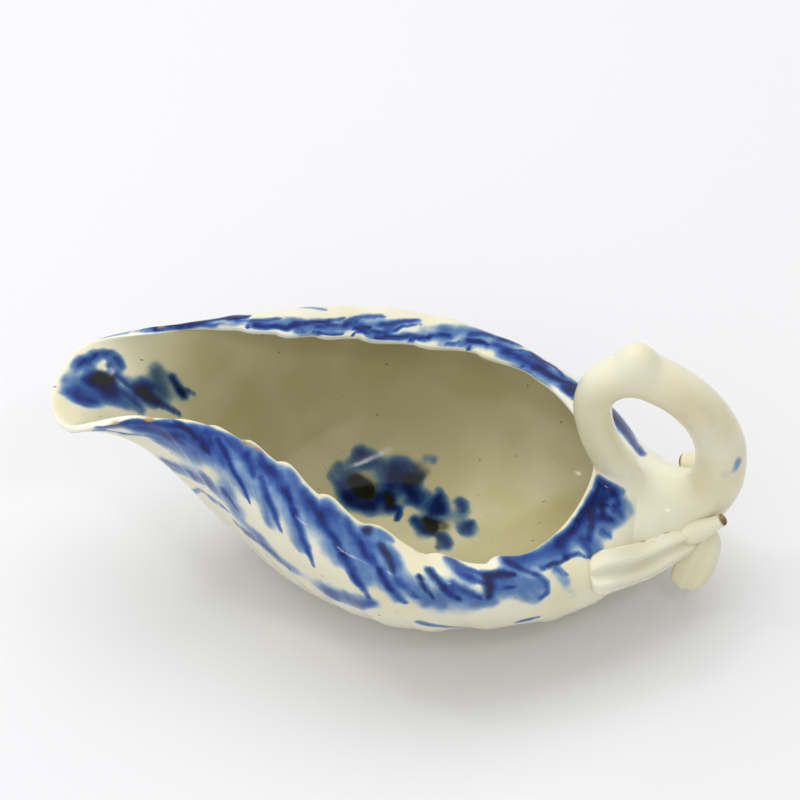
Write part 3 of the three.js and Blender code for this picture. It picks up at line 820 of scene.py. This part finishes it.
CREAM = colour(228, 225, 203)
CREAM_WARM = colour(221, 214, 180)
# The crest's white, for its thin glaze and as a painted highlight along the top of the margin.
MARGIN_WHITE_AND_HIGHLIGHT = colour(238, 237, 227)
# The well's glaze, greener where it pools and darker as painted shade of the hollow.
WELL_GLAZE_AND_SHADE = colour(198, 192, 154)
WELL_POOL_AND_SHADE = colour(181, 173, 129)
COBALT = [
    (0.0, colour(224, 223, 206)), (0.2, colour(162, 180, 192)), (0.42, colour(90, 124, 168)),
    (0.64, colour(46, 82, 148)), (0.84, colour(13, 41, 114)), (1.0, colour(4, 12, 56)),
]
IRON_BROWN = colour(30, 24, 30)
IRON_IN_WELL = colour(20, 22, 14)
BARE_CLAY = colour(196, 160, 104)
BARE_DARK = colour(120, 78, 34)
SPECK = colour(92, 72, 40)
# Cobalt in the well is dulled towards this, for its glaze and as painted shade.
COBALT_IN_WELL_AND_SHADE = colour(178, 186, 160)
CLOUDS, GRAIN, DRIFT = 38.0, 620.0, 210.0  # how fine the noises of the glaze are, per metre
STREAKS = (90.0, 3.0, 1.0)  # by turn and by rise
WARM_CLOUDS, WELL_CLOUDS, CLAY_CLOUDS = (0.35, 0.7), (0.3, 0.7), (0.35, 0.65)
SPECK_CELLS = (17.0, 6.0, 1.0)  # each cell has one place for a speck, and under half are taken
CELLS_TAKEN, SPECK_GROWS = (0.54, 0.56), (0.55, 1.0)
SPECK_SIZE, SPECK_GROWTH, SPECK_BLUR, SPECK_STRENGTH = 0.01, 0.024, 0.008, 0.75
EDGE_STREAKS, EDGE_DRIFT, WASH_GRAIN, WASH_DRIFT = 0.7, 0.9, 0.2, 0.22
COBALT_COVERS = (0.03, 0.3)
# How far cobalt in the well is dulled, partly as painted shade.
WELL_TINT_AND_SHADE = 0.75
IRON_STRENGTH, IRON_DRIFT = 1.35, 0.7
WAVES, WAVE_HEIGHT = (80.0, 1.0), 0.00012  # scale and detail, and height in metres
RIPPLES, RIPPLE_HEIGHT = (480.0, 2.0), 0.00002
GRAIN_HEIGHT = 0.00001
ROUGHNESS, ROUGHNESS_DRIFT, BARE_ROUGHNESS = 0.1, 0.07, 0.5
GLAZE_IOR, GLAZE_SHEEN = 1.5, 0.28


def glaze(name):
    """Clear lead glaze over white clay, with the cobalt, iron and bare spots of its piece."""
    material = bpy.data.materials.new(name)
    material.use_nodes = True
    tree = material.node_tree
    tree.nodes.clear()
    w = Wire(tree)
    place = w.node("ShaderNodeTexCoord", out="Object")
    uv = w.node("ShaderNodeUVMap", {"uv_map": "leaf"})
    pigment = w.node("ShaderNodeAttribute", {"attribute_name": "pigment"}, out="Color")
    split = w.node("ShaderNodeSeparateColor", (), {0: pigment})
    nodes = split.socket.node.outputs
    cobalt, iron, zone = (Wire(tree, nodes[k]) for k in range(3))
    bare = w.node("ShaderNodeAttribute", {"attribute_name": "pigment"}, out="Alpha")

    def mottle(scale, detail, rough=0.5):
        return w.node("ShaderNodeTexNoise", (), {
            "Vector": place, "Scale": scale, "Detail": detail, "Roughness": rough})

    def stretched(shares):
        return w.node("ShaderNodeVectorMath", {"operation": "MULTIPLY"}, {0: uv, 1: shares})

    cloud, grain, drift = mottle(CLOUDS, 2.0), mottle(GRAIN, 3.0, 0.6), mottle(DRIFT, 3.0)
    streak = w.node("ShaderNodeTexNoise", (), {
        "Vector": stretched(STREAKS), "Scale": 1.0, "Detail": 3.0, "Roughness": 0.6})
    outside = cloud.step(*WARM_CLOUDS).between(CREAM, CREAM_WARM)
    # The well's colours, with painted shade of its hollow as well as its pooled glaze.
    inside = cloud.step(*WELL_CLOUDS).between(WELL_GLAZE_AND_SHADE, WELL_POOL_AND_SHADE)
    # Towards the crest the ground goes to the margin's white, partly a painted highlight.
    ground = (0 - zone).between(zone.between(outside, inside), MARGIN_WHITE_AND_HIGHLIGHT)

    # Specks of iron in the glaze.
    cells = w.node("ShaderNodeTexVoronoi", {"feature": "F1", "voronoi_dimensions": "2D"},
                   {"Vector": stretched(SPECK_CELLS), "Scale": 1.0, "Randomness": 1.0})
    which = Wire(tree, cells.socket.node.outputs["Color"])
    chosen = w.node("ShaderNodeSeparateColor", (), {0: which})
    wide = SPECK_SIZE + chosen.step(*SPECK_GROWS) * SPECK_GROWTH
    speck = (1 - (cells - wide).step(-SPECK_BLUR, SPECK_BLUR)) * chosen.step(*CELLS_TAKEN)
    ground = (speck * SPECK_STRENGTH).between(ground, SPECK)

    # Cobalt that has run into streaks at its edges, and is greener and duller in the well, partly
    # as painted shade of the hollow.
    edge = cobalt * (1 - cobalt)
    laid = cobalt + edge * (streak - 0.5) * EDGE_STREAKS + edge * (drift - 0.5) * EDGE_DRIFT
    laid = laid + cobalt * (grain - 0.5) * WASH_GRAIN + cobalt * (drift - 0.5) * WASH_DRIFT
    blue = w.node("ShaderNodeValToRGB", {"stops": COBALT}, {0: laid})
    blue = w.node("ShaderNodeMix", {"data_type": "RGBA", "blend_type": "MULTIPLY"},
                  {0: zone * WELL_TINT_AND_SHADE, 6: blue, 7: COBALT_IN_WELL_AND_SHADE}, 2)
    painted = laid.step(*COBALT_COVERS).between(ground, blue)
    rust = iron * IRON_STRENGTH + iron * (drift - 0.5) * IRON_DRIFT
    painted = rust.between(painted, zone.between(IRON_BROWN, IRON_IN_WELL))
    final = bare.between(painted, drift.step(*CLAY_CLOUDS).between(BARE_CLAY, BARE_DARK))
    relief = mottle(*WAVES) * WAVE_HEIGHT + mottle(*RIPPLES) * RIPPLE_HEIGHT
    relief = relief + grain * GRAIN_HEIGHT
    bump = w.node("ShaderNodeBump", (), {"Strength": 1.0, "Distance": 1.0, "Height": relief})
    rough = ROUGHNESS + drift * ROUGHNESS_DRIFT + bare * BARE_ROUGHNESS
    shader = w.node("ShaderNodeBsdfPrincipled", (), {
        "Base Color": final, "Roughness": rough, "Normal": bump, "IOR": GLAZE_IOR,
        "Specular IOR Level": GLAZE_SHEEN})
    w.node("ShaderNodeOutputMaterial", (), {"Surface": shader})
    return material


def make_piece(name, points, faces, pigment, uv=None):
    """A smooth mesh from points in mm, with cobalt, iron, zone and bare at each point."""
    mesh = bpy.data.meshes.new(name)
    mesh.from_pydata((points * MM).tolist(), [], faces.reshape(-1, 4).tolist())
    layer = mesh.color_attributes.new("pigment", "FLOAT_COLOR", "POINT")
    layer.data.foreach_set("color", np.asarray(pigment, np.float32).reshape(-1))
    flat = mesh.uv_layers.new(name="leaf")
    if uv is not None:
        flat.data.foreach_set("uv", np.asarray(uv, np.float32).reshape(-1))
    mesh.shade_smooth()
    mesh.validate()
    piece = bpy.data.objects.new(name, mesh)
    bpy.context.scene.collection.objects.link(piece)
    return piece


def tube_quads(ids):
    """Faces between the points of a grid that is closed round its second side."""
    turned = np.roll(ids, -1, 1)
    return np.stack([ids[:-1], turned[:-1], turned[1:], ids[1:]], -1)


# The middle of the floor and of the well are one line of points for both sides.
ids = np.arange(COLUMNS * ROWS).reshape(COLUMNS, ROWS)
for middle_row in (0, ROWS - 1):
    ids[SIDE_COLUMNS + 1:, middle_row] = ids[1:SIDE_COLUMNS, middle_row][::-1]
used, compact = np.unique(ids, return_inverse=True)
shell_quads = tube_quads(compact.reshape(ids.shape).T).transpose(1, 0, 2)
next_turn = np.append(loop_turn[1:], 2.0)
corner_turn = np.stack([loop_turn, next_turn, next_turn, loop_turn], -1)[:, None]
corner_rise = np.stack([row_names[:-1], row_names[:-1], row_names[1:], row_names[1:]], -1)[None]
shell_uv = np.stack(np.broadcast_arrays(corner_turn, corner_rise), -1)
pigments = np.stack([cobalt, iron, zone, bare], -1)[used]
shell = make_piece("leaf_shell", shell_flat[used], shell_quads, pigments, shell_uv)
shell.data.materials.append(glaze("painted_leaf_glaze"))
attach(shell, "root")
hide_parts("body_half_left", "body_half_right")
wall_quads = shell_quads[:, FIRST_OUTSIDE: FIRST_MARGIN + MARGIN_ROWS - 1]

# The foot: an oval strip of clay under the floor, trimmed square and wiped free of glaze
# where it stands.
FOOT_RING_INSET = 0.8
FOOT_PROFILE = [  # mm in from its outer face, and mm up
    (0.0, 3.0), (0.0, 2.2), (0.0, 1.4), (0.05, 0.8), (0.25, 0.3), (0.7, 0.04), (1.3, 0.0),
    (2.3, 0.0), (2.9, 0.04), (3.35, 0.3), (3.55, 0.8), (3.6, 1.4), (3.6, 2.2), (3.6, 3.0),
]
FOOT_STEPS = 180
WIPED, WIPED_BARE = (0.2, 0.6), 0.8  # mm up from the table, and how bare the clay is there

angles = np.linspace(0, 2 * np.pi, FOOT_STEPS, endpoint=False)[:, None]
inset, height = np.array(FOOT_PROFILE).T[:, None]
inset = inset + FOOT_RING_INSET
foot_points = np.stack([
    FOOT_CENTRE_X + (FOOT_HALF_LENGTH - inset) * np.cos(angles),
    (FOOT_HALF_WIDTH - inset) * np.sin(angles),
    height + 0 * angles,
], -1).reshape(-1, 3) + FRAME_SHIFT
ring_ids = np.arange(len(foot_points)).reshape(FOOT_STEPS, -1)
foot_quads = tube_quads(np.vstack([ring_ids, ring_ids[:1]]))
foot_pigment = np.zeros((len(foot_points), 4))
foot_pigment[:, 3] = WIPED_BARE * (1 - smooth(foot_points[:, 2], *WIPED))
foot = make_piece("foot_ring_glazed", foot_points, foot_quads, foot_pigment)
foot.data.materials.append(glaze("foot_glaze"))
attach(foot, "root")
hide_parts("foot_ring")

# The handle: one roll of clay, thick and flat where it leaves the back of the leaf as the
# stalk, then bent up and over into a loop with a pinched knuckle, and pressed down again at
# the root. Both ends are luted on with slip, smoothed into the leaf with a wet finger.
STALK_RISE = 0.6
HANDLE_ROLL = [  # mm along and up from the stalk's root, half height, half width
    (-18.6, -3.4, 13.0, 31.0), (-8.6, -2.9, 12.8, 26.0), (-0.6, -1.9, 12.0, 19.5),
    (6.4, 0.1, 10.0, 12.8), (12.9, 4.2, 8.2, 8.9), (16.7, 9.9, 7.3, 7.4),
    (17.9, 17.6, 7.0, 7.0), (17.0, 27.1, 6.8, 6.8), (13.0, 36.8, 6.4, 6.5),
    (6.4, 45.0, 6.3, 6.3), (0.2, 49.6, 6.3, 6.3), (-5.6, 51.9, 6.2, 6.3),
    (-10.6, 51.0, 5.9, 6.0), (-15.2, 47.0, 5.6, 5.6), (-17.3, 39.8, 5.25, 5.3),
    (-16.3, 30.9, 5.0, 5.1), (-13.2, 21.6, 5.0, 5.1), (-9.0, 13.1, 5.6, 5.7),
    (-5.6, 5.6, 6.0, 6.2), (-3.0, -0.5, 6.0, 6.2),
]
KNUCKLE_AT = (-6.7, 51.9)
KNUCKLE_HEIGHT = 4.3
KNUCKLE_WIDTH = 2.7
KNUCKLE_SHARPNESS = 2.2
HANDLE_RINGS = 260
HANDLE_AROUND = 72
ROOT_END, LOOP_START = 0.42, 0.8  # shares of the roll: the stalk ends, the loop's end starts
BURIED = 1.2  # mm that the ends of the roll go into the wall
WALL_TURN = 0.3  # how much of the leaf's wall is taken in when the roll is luted on
WALL_FROM = 8  # the row of the wall that it starts at
CLAY_GRAIN = 0.5
CLAY_REACH = 10  # mm round the roll that the finger works on
OUT_OF_REACH = 99.0
ROOT_SLIP = (3.0, 8.5, 90)  # full and last reach of the slip, and strokes of the finger
LOOP_SLIP = (0.8, 3.2, 14)
FINGER_PRESS = 0.6
SKIN, SKIN_SLOPE = 0.08, 0.02  # how proud of the leaf the handle's clay stands, in mm
CLEAR_OF_WALL = 2  # mm over the wall, from where all clay in reach is the handle's
# Clay less than this over the wall is fitted to it: its thin edge runs out and goes under the
# leaf's skin.
FITTED, RUNS_OUT, SINKS, EDGE_SUNK = 0.5, (0, 0.4), (0.02, 0.3), 0.12
GROUPING_PASSES = 400
PAINT_FADES = (0.3, 1.6)  # mm over the wall
BAND_FADES, BAND_STARTS = (0.8, 2.6), (0, 2)  # mm over the wall, and past the middle
HANDLE_SMUDGES = [  # of cobalt: middle, radius in mm, strength
    ((91.1, -4.7, 52.6), 2.0, 0.34), ((90.8, -5.6, 50.4), 1.8, 0.26),
    ((87.9, -6.6, 49.1), 2.6, 0.16),
]
HANDLE_BROWN_PATCHES = [  # faint patches of the bare clay's brown on the right of the loop
    ((78.0, -5.9, 71.6), 7.0, 0.14), ((84.0, -4.0, 66.0), 8.0, 0.1),
    ((77.2, -4.5, 67.0), 2.0, 0.16),
]
DAB_EDGE = (0.2, 1.4)  # in radii

stalk_root = leaf_point(0.0, STALK_RISE) + FRAME_SHIFT
roll_path = bent_through([(x, z) for x, z, _, _ in HANDLE_ROLL])
roll_size = bent_through([(h, w) for _, _, h, w in HANDLE_ROLL])
share = np.linspace(0, 1, HANDLE_RINGS)
track, size = roll_path(share), roll_size(share)
tangent = np.gradient(track, axis=0)
tangent /= np.linalg.norm(tangent, axis=1, keepdims=True)
around = np.linspace(0, 2 * np.pi, HANDLE_AROUND, endpoint=False)
rise_dir = np.stack([-tangent[:, 1], 0 * share, tangent[:, 0]], -1)[:, None, :]
outward = (np.cos(around)[None, :, None] * rise_dir * size[:, :1, None]
           + np.sin(around)[None, :, None] * np.array([0, 1.0, 0]) * size[:, 1:, None])
from_knuckle = np.linalg.norm(track - KNUCKLE_AT, axis=1)
pinch = KNUCKLE_HEIGHT * np.exp(-((from_knuckle / KNUCKLE_WIDTH) ** KNUCKLE_SHARPNESS))[:, None]
outward = outward - rise_dir * (pinch * np.clip(-np.cos(around), 0, 1))[..., None]
centre = np.stack([track[:, 0], 0 * share, track[:, 1]], -1) + stalk_root
roll_points = (centre[:, None] + outward).reshape(-1, 3)
roll_ids = np.arange(HANDLE_RINGS * HANDLE_AROUND).reshape(HANDLE_RINGS, HANDLE_AROUND)
roll_quads = tube_quads(roll_ids)


def surface(points, quads):
    return BVHTree.FromPolygons(points.tolist(), quads.reshape(-1, 4).tolist())


def nearest(ground, points):
    """The nearest spot of a surface to each point, its normal, and the height over it."""
    spots, normals = np.zeros((2, len(points), 3))
    for k, point in enumerate(points.tolist()):
        spots[k], normals[k] = ground.find_nearest(Vector(point))[:2]
    return spots, normals, np.einsum("ij,ij->i", points - spots, normals)


wall_ground = surface(shell_flat[used], wall_quads)
root_ground = surface(roll_points, roll_quads[: int(HANDLE_RINGS * ROOT_END)])
loop_ground = surface(roll_points, roll_quads[int(HANDLE_RINGS * LOOP_START):])
spot, normal, gap = nearest(wall_ground, roll_points)
roll_points = np.where(gap[:, None] < -BURIED, spot - normal * BURIED, roll_points)

# A thick piece of the leaf's wall, closed all round, for the roll to be luted to.
columns = np.nonzero(np.minimum(loop_turn, 2 - loop_turn) < WALL_TURN)[0]
columns = np.roll(columns, np.count_nonzero(loop_turn[columns] > 1))
last_row = FIRST_INSIDE + int(INSIDE_ROWS * (1 - WALL_FROM / OUTSIDE_ROWS))
block = shell_points[columns][:, FIRST_OUTSIDE + WALL_FROM: last_row]
block_points = block.reshape(-1, 3)
block_ids = len(roll_points) + np.arange(len(block_points)).reshape(block.shape[:2])
block_quads = tube_quads(block_ids)[..., [0, 3, 2, 1]]
ends = [roll_ids[0][::-1], roll_ids[-1], block_ids[0], block_ids[-1][::-1]]
raw = bpy.data.meshes.new("wet_clay")
raw.from_pydata(
    (np.concatenate([roll_points, block_points]) * MM).tolist(), [],
    roll_quads.reshape(-1, 4).tolist() + block_quads.reshape(-1, 4).tolist()
    + [end.tolist() for end in ends])
lump = bpy.data.objects.new("wet_clay", raw)
bpy.context.scene.collection.objects.link(lump)
knead = lump.modifiers.new("knead", "REMESH")
knead.mode, knead.voxel_size = "VOXEL", CLAY_GRAIN * MM
kneaded = lump.evaluated_get(bpy.context.evaluated_depsgraph_get()).to_mesh()
clay = np.zeros(len(kneaded.vertices) * 3)
kneaded.vertices.foreach_get("co", clay)
clay = clay.reshape(-1, 3) / MM
faces = np.zeros(len(kneaded.loops), int)
kneaded.loops.foreach_get("vertex_index", faces)
faces = faces.reshape(-1, 4)
lump.to_mesh_clear()
bpy.data.objects.remove(lump)

# Only the clay around the handle is worked on, and the leaf's own skin is left to the leaf.
low, high = roll_points.min(0) - CLAY_REACH, roll_points.max(0) + CLAY_REACH
in_reach = ((clay > low) & (clay < high)).all(1)
over_wall = nearest(wall_ground, clay)[2]
near_roll = in_reach & (over_wall > -BURIED)
from_roll, from_loop = np.full((2, len(clay)), OUT_OF_REACH)
for distance, ground in ((from_roll, root_ground), (from_loop, loop_ground)):
    spots = nearest(ground, clay[near_roll])[0]
    distance[near_roll] = np.linalg.norm(clay[near_roll] - spots, axis=1)
to_wall = np.abs(over_wall)
here, beside = faces.reshape(-1), np.roll(faces, -1, 1).reshape(-1)
degree = np.bincount(here, minlength=len(clay))[:, None]
for (full, last, strokes), reach in (
        (ROOT_SLIP, np.maximum(to_wall, from_roll)),
        (LOOP_SLIP, np.maximum(np.minimum(to_wall, from_roll), from_loop))):
    press = FINGER_PRESS * (1 - smooth(reach, full, last))[:, None]
    for _ in range(strokes):
        total = np.stack([np.bincount(here, clay[beside, k], len(clay)) for k in range(3)], -1)
        clay += press * (total / degree - clay)
spot, normal, gap = nearest(wall_ground, clay)
beyond = np.minimum(from_roll, from_loop)
proud = (gap > SKIN + SKIN_SLOPE * beyond) & near_roll
proud |= (gap > CLEAR_OF_WALL) & (beyond == OUT_OF_REACH) & in_reach
kept = faces[proud[faces].any(1)]

# Crumbs go: each point takes the lowest number that it hangs together with, and the largest
# group of faces stays.
group = np.arange(len(clay))
for _ in range(GROUPING_PASSES):
    before = group.copy()
    np.minimum.at(group, kept.reshape(-1), np.repeat(group[kept].min(1), 4))
    group = group[group]
    if (group == before).all():
        break
names, counts = np.unique(group[kept[:, 0]], return_counts=True)
kept = kept[group[kept[:, 0]] == names[counts.argmax()]]
settled = gap * smooth(gap, *RUNS_OUT) - EDGE_SUNK * (1 - smooth(gap, *SINKS))
clay = np.where(gap[:, None] < FITTED, spot + normal * settled[:, None], clay)
kept_ids, kept_faces = np.unique(kept, return_inverse=True)
handle_points, over = clay[kept_ids], gap[kept_ids]
handle_astray = wobbled(handle_points)
handle_cobalt, handle_iron = paint_outside(handle_astray, 1 - smooth(over, *PAINT_FADES))


def dabbed(points, marks):
    """How strong the round marks are at each point."""
    clean = 1
    for middle, radius, strength in marks:
        away = np.linalg.norm(points - middle, axis=1)
        clean *= 1 - strength * (1 - smooth(away / radius, *DAB_EDGE))
    return 1 - clean


# The band runs on to the far side of the handle's root.
far_half = smooth(handle_points[:, 1], *BAND_STARTS) * (1 - smooth(over, *BAND_FADES))
handle_band = paint_band(handle_astray) * far_half
handle_cobalt = np.maximum(handle_cobalt * (1 - far_half), handle_band)
handle_cobalt = np.maximum(handle_cobalt, dabbed(handle_astray, HANDLE_SMUDGES))
# The fourth channel carries the faint brown patches on the loop.
handle_pigment = np.stack(
    [handle_cobalt, handle_iron, 0 * handle_iron, dabbed(handle_astray, HANDLE_BROWN_PATCHES)], -1)
handle = make_piece("stalk_and_loop", handle_points, kept_faces, handle_pigment)
handle.data.materials.append(glaze("handle_glaze"))
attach(handle, "root")
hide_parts("stalk", "handle_loop")

# The applied leaves: thin tongues of clay with pressed flutes, laid on wet and stuck down
# with slip, one along the flank to the stalk and one hanging beside the stalk's tip.
STRAP_ON_BOAT = [  # turn, rise, and mm over the leaf
    (0.152, 0.757, 0.3), (0.146, 0.752, 0.8), (0.13, 0.738, 1.4),
]
STRAP_ON_STALK = [  # share of the way, degrees from the top, and mm over the stalk
    (0.5, -80, 1.6), (0.74, -94, 1.5), (0.93, -110, 1.8),
]
STRAP_SIZES = [(3.6, 1.2), (5.6, 1.8), (6.2, 2.4), (5.5, 2.6), (4.6, 2.4), (3.5, 1.9)]
STRAP_OUTWARD = (0.3, -0.75, 0.55)
FLUTES = 2
FLUTE_DEPTH = 0.52
# Broken brown lines along the strap's two edges: grain, strength, where across, and where broken.
EDGE_LINE_GRAIN = 0.35
EDGE_LINE_STRENGTH, EDGE_LINE_ALONG, EDGE_LINE_BREAKS = 0.8, (0.95, 1), (0, 0.35)
STALK_PATH = [(-18.6, -3.4), (-8.6, -2.9), (-0.6, -1.9), (6.4, 0.1), (12.4, 2.6)]
STALK_SIZE = [(13, 31), (12.8, 26), (12, 19.5), (10, 12.8), (7.7, 7.7)]
TIP_RADIUS = 7.7
# From the stalk's tip: mm along, up and out, then half width and half thickness.
HANGING_LEAF = [
    (4.0, -3.2, -0.9, 2.6, 1.7), (3.0, -8.0, 1.9, 5.0, 2.4), (1.0, -13.0, 4.7, 5.8, 2.5),
    (-0.7, -17.2, 6.5, 5.2, 2.3), (-1.5, -19.6, 7.3, 3.2, 1.5),
]
HANGING_OUTWARD = (0.25, -0.9, 0.35)
HANGING_FLUTE = 0.22
TONGUE_STEPS = 90
TONGUE_AROUND = 56
END_BLUNT, END_LIMIT = 0.6, 2.2  # length of the rounded end by half width, and at most, in mm
END_FLATNESS = 0.7
WELD = 0.02


def tongue(name, path, sizes, facing, flute, pigment_at):
    """A laid-on leaf or twig: a fluted roll with rounded ends."""
    at, wide_at = bent_through(path), bent_through(sizes)
    share = (1 - np.cos(np.linspace(0, np.pi, TONGUE_STEPS))) / 2
    track, size = at(share), wide_at(share)
    run = at(np.minimum(share + STEP, 1)) - at(np.maximum(share - STEP, 0))
    run /= np.linalg.norm(run, axis=1, keepdims=True)
    facing = np.array(facing) / np.linalg.norm(facing)
    across = np.cross(run, facing)
    across /= np.linalg.norm(across, axis=1, keepdims=True)
    face = np.cross(across, run)
    length = np.linalg.norm(np.diff(track, axis=0), axis=1).sum()
    to_end = np.minimum(share, 1 - share) * length
    blunt = np.minimum(size[:, 0] * END_BLUNT, END_LIMIT)
    round_off = np.sqrt(np.clip(1 - (1 - np.clip(to_end / blunt, 0, 1)) ** 2, 0, 1))
    angle = np.linspace(0, 2 * np.pi, TONGUE_AROUND, endpoint=False)[None, :]
    reach, front = np.cos(angle), np.clip(np.sin(angle), 0, None)
    groove = 1 - flute * front * np.cos(FLUTES * np.pi * reach)
    wide = (size[:, :1] * round_off[:, None] * reach)[..., None]
    thick = (size[:, 1:] * round_off[:, None] ** END_FLATNESS * np.sin(angle) * groove)[..., None]
    points = track[:, None] + across[:, None] * wide + face[:, None] * thick
    points = points.reshape(-1, 3)
    ids = np.arange(len(points)).reshape(TONGUE_STEPS, TONGUE_AROUND)
    pigment = pigment_at(
        np.repeat(share, TONGUE_AROUND), np.tile(reach[0], TONGUE_STEPS), points)
    piece = make_piece(name, points, tube_quads(ids), pigment)
    weld = piece.modifiers.new("weld", "WELD")
    weld.merge_threshold = WELD * MM
    piece.data.materials.append(glaze(name + "_glaze"))
    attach(piece, "root")
    return piece


def on_stalk(share, degrees, lift):
    """A spot on the stalk's side, by its share of the way and degrees round from the top."""
    path, size = bent_through(STALK_PATH), bent_through(STALK_SIZE)
    run = path(share + STEP) - path(share - STEP)
    run /= np.linalg.norm(run)
    radius, angle = size(share) + lift, math.radians(degrees)
    spot = path(share) + np.array([-run[1], run[0]]) * radius[0] * math.cos(angle)
    return stalk_root + np.array([spot[0], radius[1] * math.sin(angle), spot[1]])


def plain(share, reach, points):
    """No pigment at all."""
    return np.zeros((len(points), 4))


def broken_brown_edges(share, reach, points):
    """Broken brown lines along the two long edges."""
    broken = np.array([noise.noise(Vector(p) * EDGE_LINE_GRAIN) for p in points.tolist()])
    pigment = np.zeros((len(points), 4))
    along = smooth(np.abs(reach), *EDGE_LINE_ALONG)
    pigment[:, 3] = EDGE_LINE_STRENGTH * along * smooth(broken, *EDGE_LINE_BREAKS)
    return pigment


strap_path = []
for turn, rise, lift in STRAP_ON_BOAT:
    relief = relief_at(np.array(turn), np.array(rise), NEAR_NOTCHES, NEAR_FOLD_HEIGHT)
    strap_path.append(leaf_skin(turn, rise, relief + lift) * [1, -1, 1] + FRAME_SHIFT)
strap_path += [on_stalk(*row) for row in STRAP_ON_STALK]
strap = tongue("strap_of_leaf", strap_path, STRAP_SIZES, STRAP_OUTWARD, FLUTE_DEPTH,
               broken_brown_edges)
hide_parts("strap_leaf")


def beside_tip(stations, side):
    """Path and sizes of a piece laid beside the stalk's tip, near (-1) or far (1)."""
    path = [
        stalk_root + np.array([STALK_PATH[-1][0] + x, side * (TIP_RADIUS + out),
                               STALK_PATH[-1][1] + z])
        for x, z, out, _, _ in stations
    ]
    return path, [(wide, thick) for _, _, _, wide, thick in stations]


hanging = tongue("hanging_tongue", *beside_tip(HANGING_LEAF, -1), HANGING_OUTWARD,
                 HANGING_FLUTE, plain)
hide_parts("hanging_leaf")

# The buds: two short cut twigs of clay pressed beside the stalk's tip, their cut ends left
# free of glaze and burnt brown.
BUD_NEAR = [
    (-3.6, -3.4, 1.8, 1.8, 1.8), (-1.6, -2.3, 2.5, 3.2, 3.2), (1.9, 0.3, 2.7, 2.9, 2.9),
    (5.4, 2.8, 2.3, 2.0, 2.0), (7.8, 4.6, 1.9, 1.6, 1.6),
]
BUD_FAR = [
    (4.4, 3.5, -1.2, 2.2, 2.2), (1.7, 4.5, 0.7, 3.5, 3.5), (-1.6, 3.8, 2.3, 3.3, 3.3),
    (-5.0, 3.0, 3.3, 2.2, 2.2),
]
BUD_OUTWARD = (0, 0, 1)
TIP_IRON, IRON_FROM = 0.75, (0.88, 0.95)  # strength, and the shares over which it comes in
TIP_BARE, BARE_FROM = 0.55, (0.86, 0.95)


def cut_tip(share, reach, points):
    """Burnt brown and bare at the end of the path."""
    pigment = np.zeros((len(points), 4))
    pigment[:, 1] = TIP_IRON * smooth(share, *IRON_FROM)
    pigment[:, 3] = TIP_BARE * smooth(share, *BARE_FROM)
    return pigment


bud_near = tongue("cut_bud_near", *beside_tip(BUD_NEAR, -1), BUD_OUTWARD, 0, cut_tip)
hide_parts("bud_near")
bud_far = tongue("cut_bud_far", *beside_tip(BUD_FAR, 1), BUD_OUTWARD, 0, cut_tip)
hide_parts("bud_far")

# The table: a plain sheet of pale paper, laid flat and wide enough to fill the photo's view
# on every side of the boat.
FLOOR_SIZE = 4.0
FLOOR_GREY, FLOOR_FIBRE = colour(226, 226, 228), colour(214, 214, 216)
FLOOR_ROUGHNESS = 0.85
FIBRES, FIBRE_DETAIL, FIBRE_STRENGTH = 60.0, 3.0, 0.06

floor_mesh = bpy.data.meshes.new("floor")
half = FLOOR_SIZE / 2
floor_mesh.from_pydata(
    [(-half, -half, 0), (half, -half, 0), (half, half, 0), (-half, half, 0)], [], [(0, 1, 2, 3)])
floor = bpy.data.objects.new("floor", floor_mesh)
bpy.context.scene.collection.objects.link(floor)
paper = bpy.data.materials.new("pale_paper")
paper.use_nodes = True
paper.node_tree.nodes.clear()
w = Wire(paper.node_tree)
fibre = w.node("ShaderNodeTexNoise", (), {"Scale": FIBRES, "Detail": FIBRE_DETAIL})
sheet = (fibre * FIBRE_STRENGTH).between(FLOOR_GREY, FLOOR_FIBRE)
matt = w.node("ShaderNodeBsdfPrincipled", (), {
    "Base Color": sheet, "Roughness": FLOOR_ROUGHNESS})
w.node("ShaderNodeOutputMaterial", (), {"Surface": matt})
floor_mesh.materials.append(paper)

# The light: one broad soft box over and behind the boat, a weaker one from the front, two
# small ones that leave the bright spots in the glaze, and a pale room all round.
ROOM, SEEN_ROOM = 0.62, 1.0  # how strong the room is as light, and where it is seen
WHITE = (1.0, 1.0, 1.0, 1.0)
LAMPS = [  # place, size, watts, and whether the glaze shows it
    ("over_and_behind", (-0.2, 0.36, 1.1), (1.2, 0.9), 7.8, False),
    ("front_fill", (-0.5, -0.9, 0.75), (1.6, 1.6), 4.0, False),
    ("small_box_left", (-0.66, 0.13, 0.92), (0.11, 0.15), 0.8, True),
    ("small_box_right", (0.34, -0.46, 0.98), (0.12, 0.1), 0.7, True),
]
for name, spot, (wide, high), watts, mirrored in LAMPS:
    lamp = bpy.data.lights.new(name, "AREA")
    lamp.shape, lamp.size, lamp.size_y, lamp.energy = "RECTANGLE", wide, high, watts
    box = bpy.data.objects.new(name, lamp)
    box.location = spot
    box.rotation_euler = (VIEW_CENTRE - Vector(spot)).to_track_quat("-Z", "Y").to_euler()
    box.visible_glossy = mirrored
    bpy.context.scene.collection.objects.link(box)
world = bpy.data.worlds.new("room")
world.use_nodes = True
world.node_tree.nodes.clear()
w = Wire(world.node_tree)
rays = [w.node("ShaderNodeLightPath", out=f"Is {kind} Ray")
        for kind in ("Camera", "Glossy", "Transmission")]
seen = w.math("MAXIMUM", w.math("MAXIMUM", rays[0], rays[1]), rays[2])
strength = ROOM + seen * (SEEN_ROOM - ROOM)
room = w.node("ShaderNodeBackground", (), {"Color": WHITE, "Strength": strength})
w.node("ShaderNodeOutputWorld", (), {"Surface": room})
bpy.context.scene.world = world
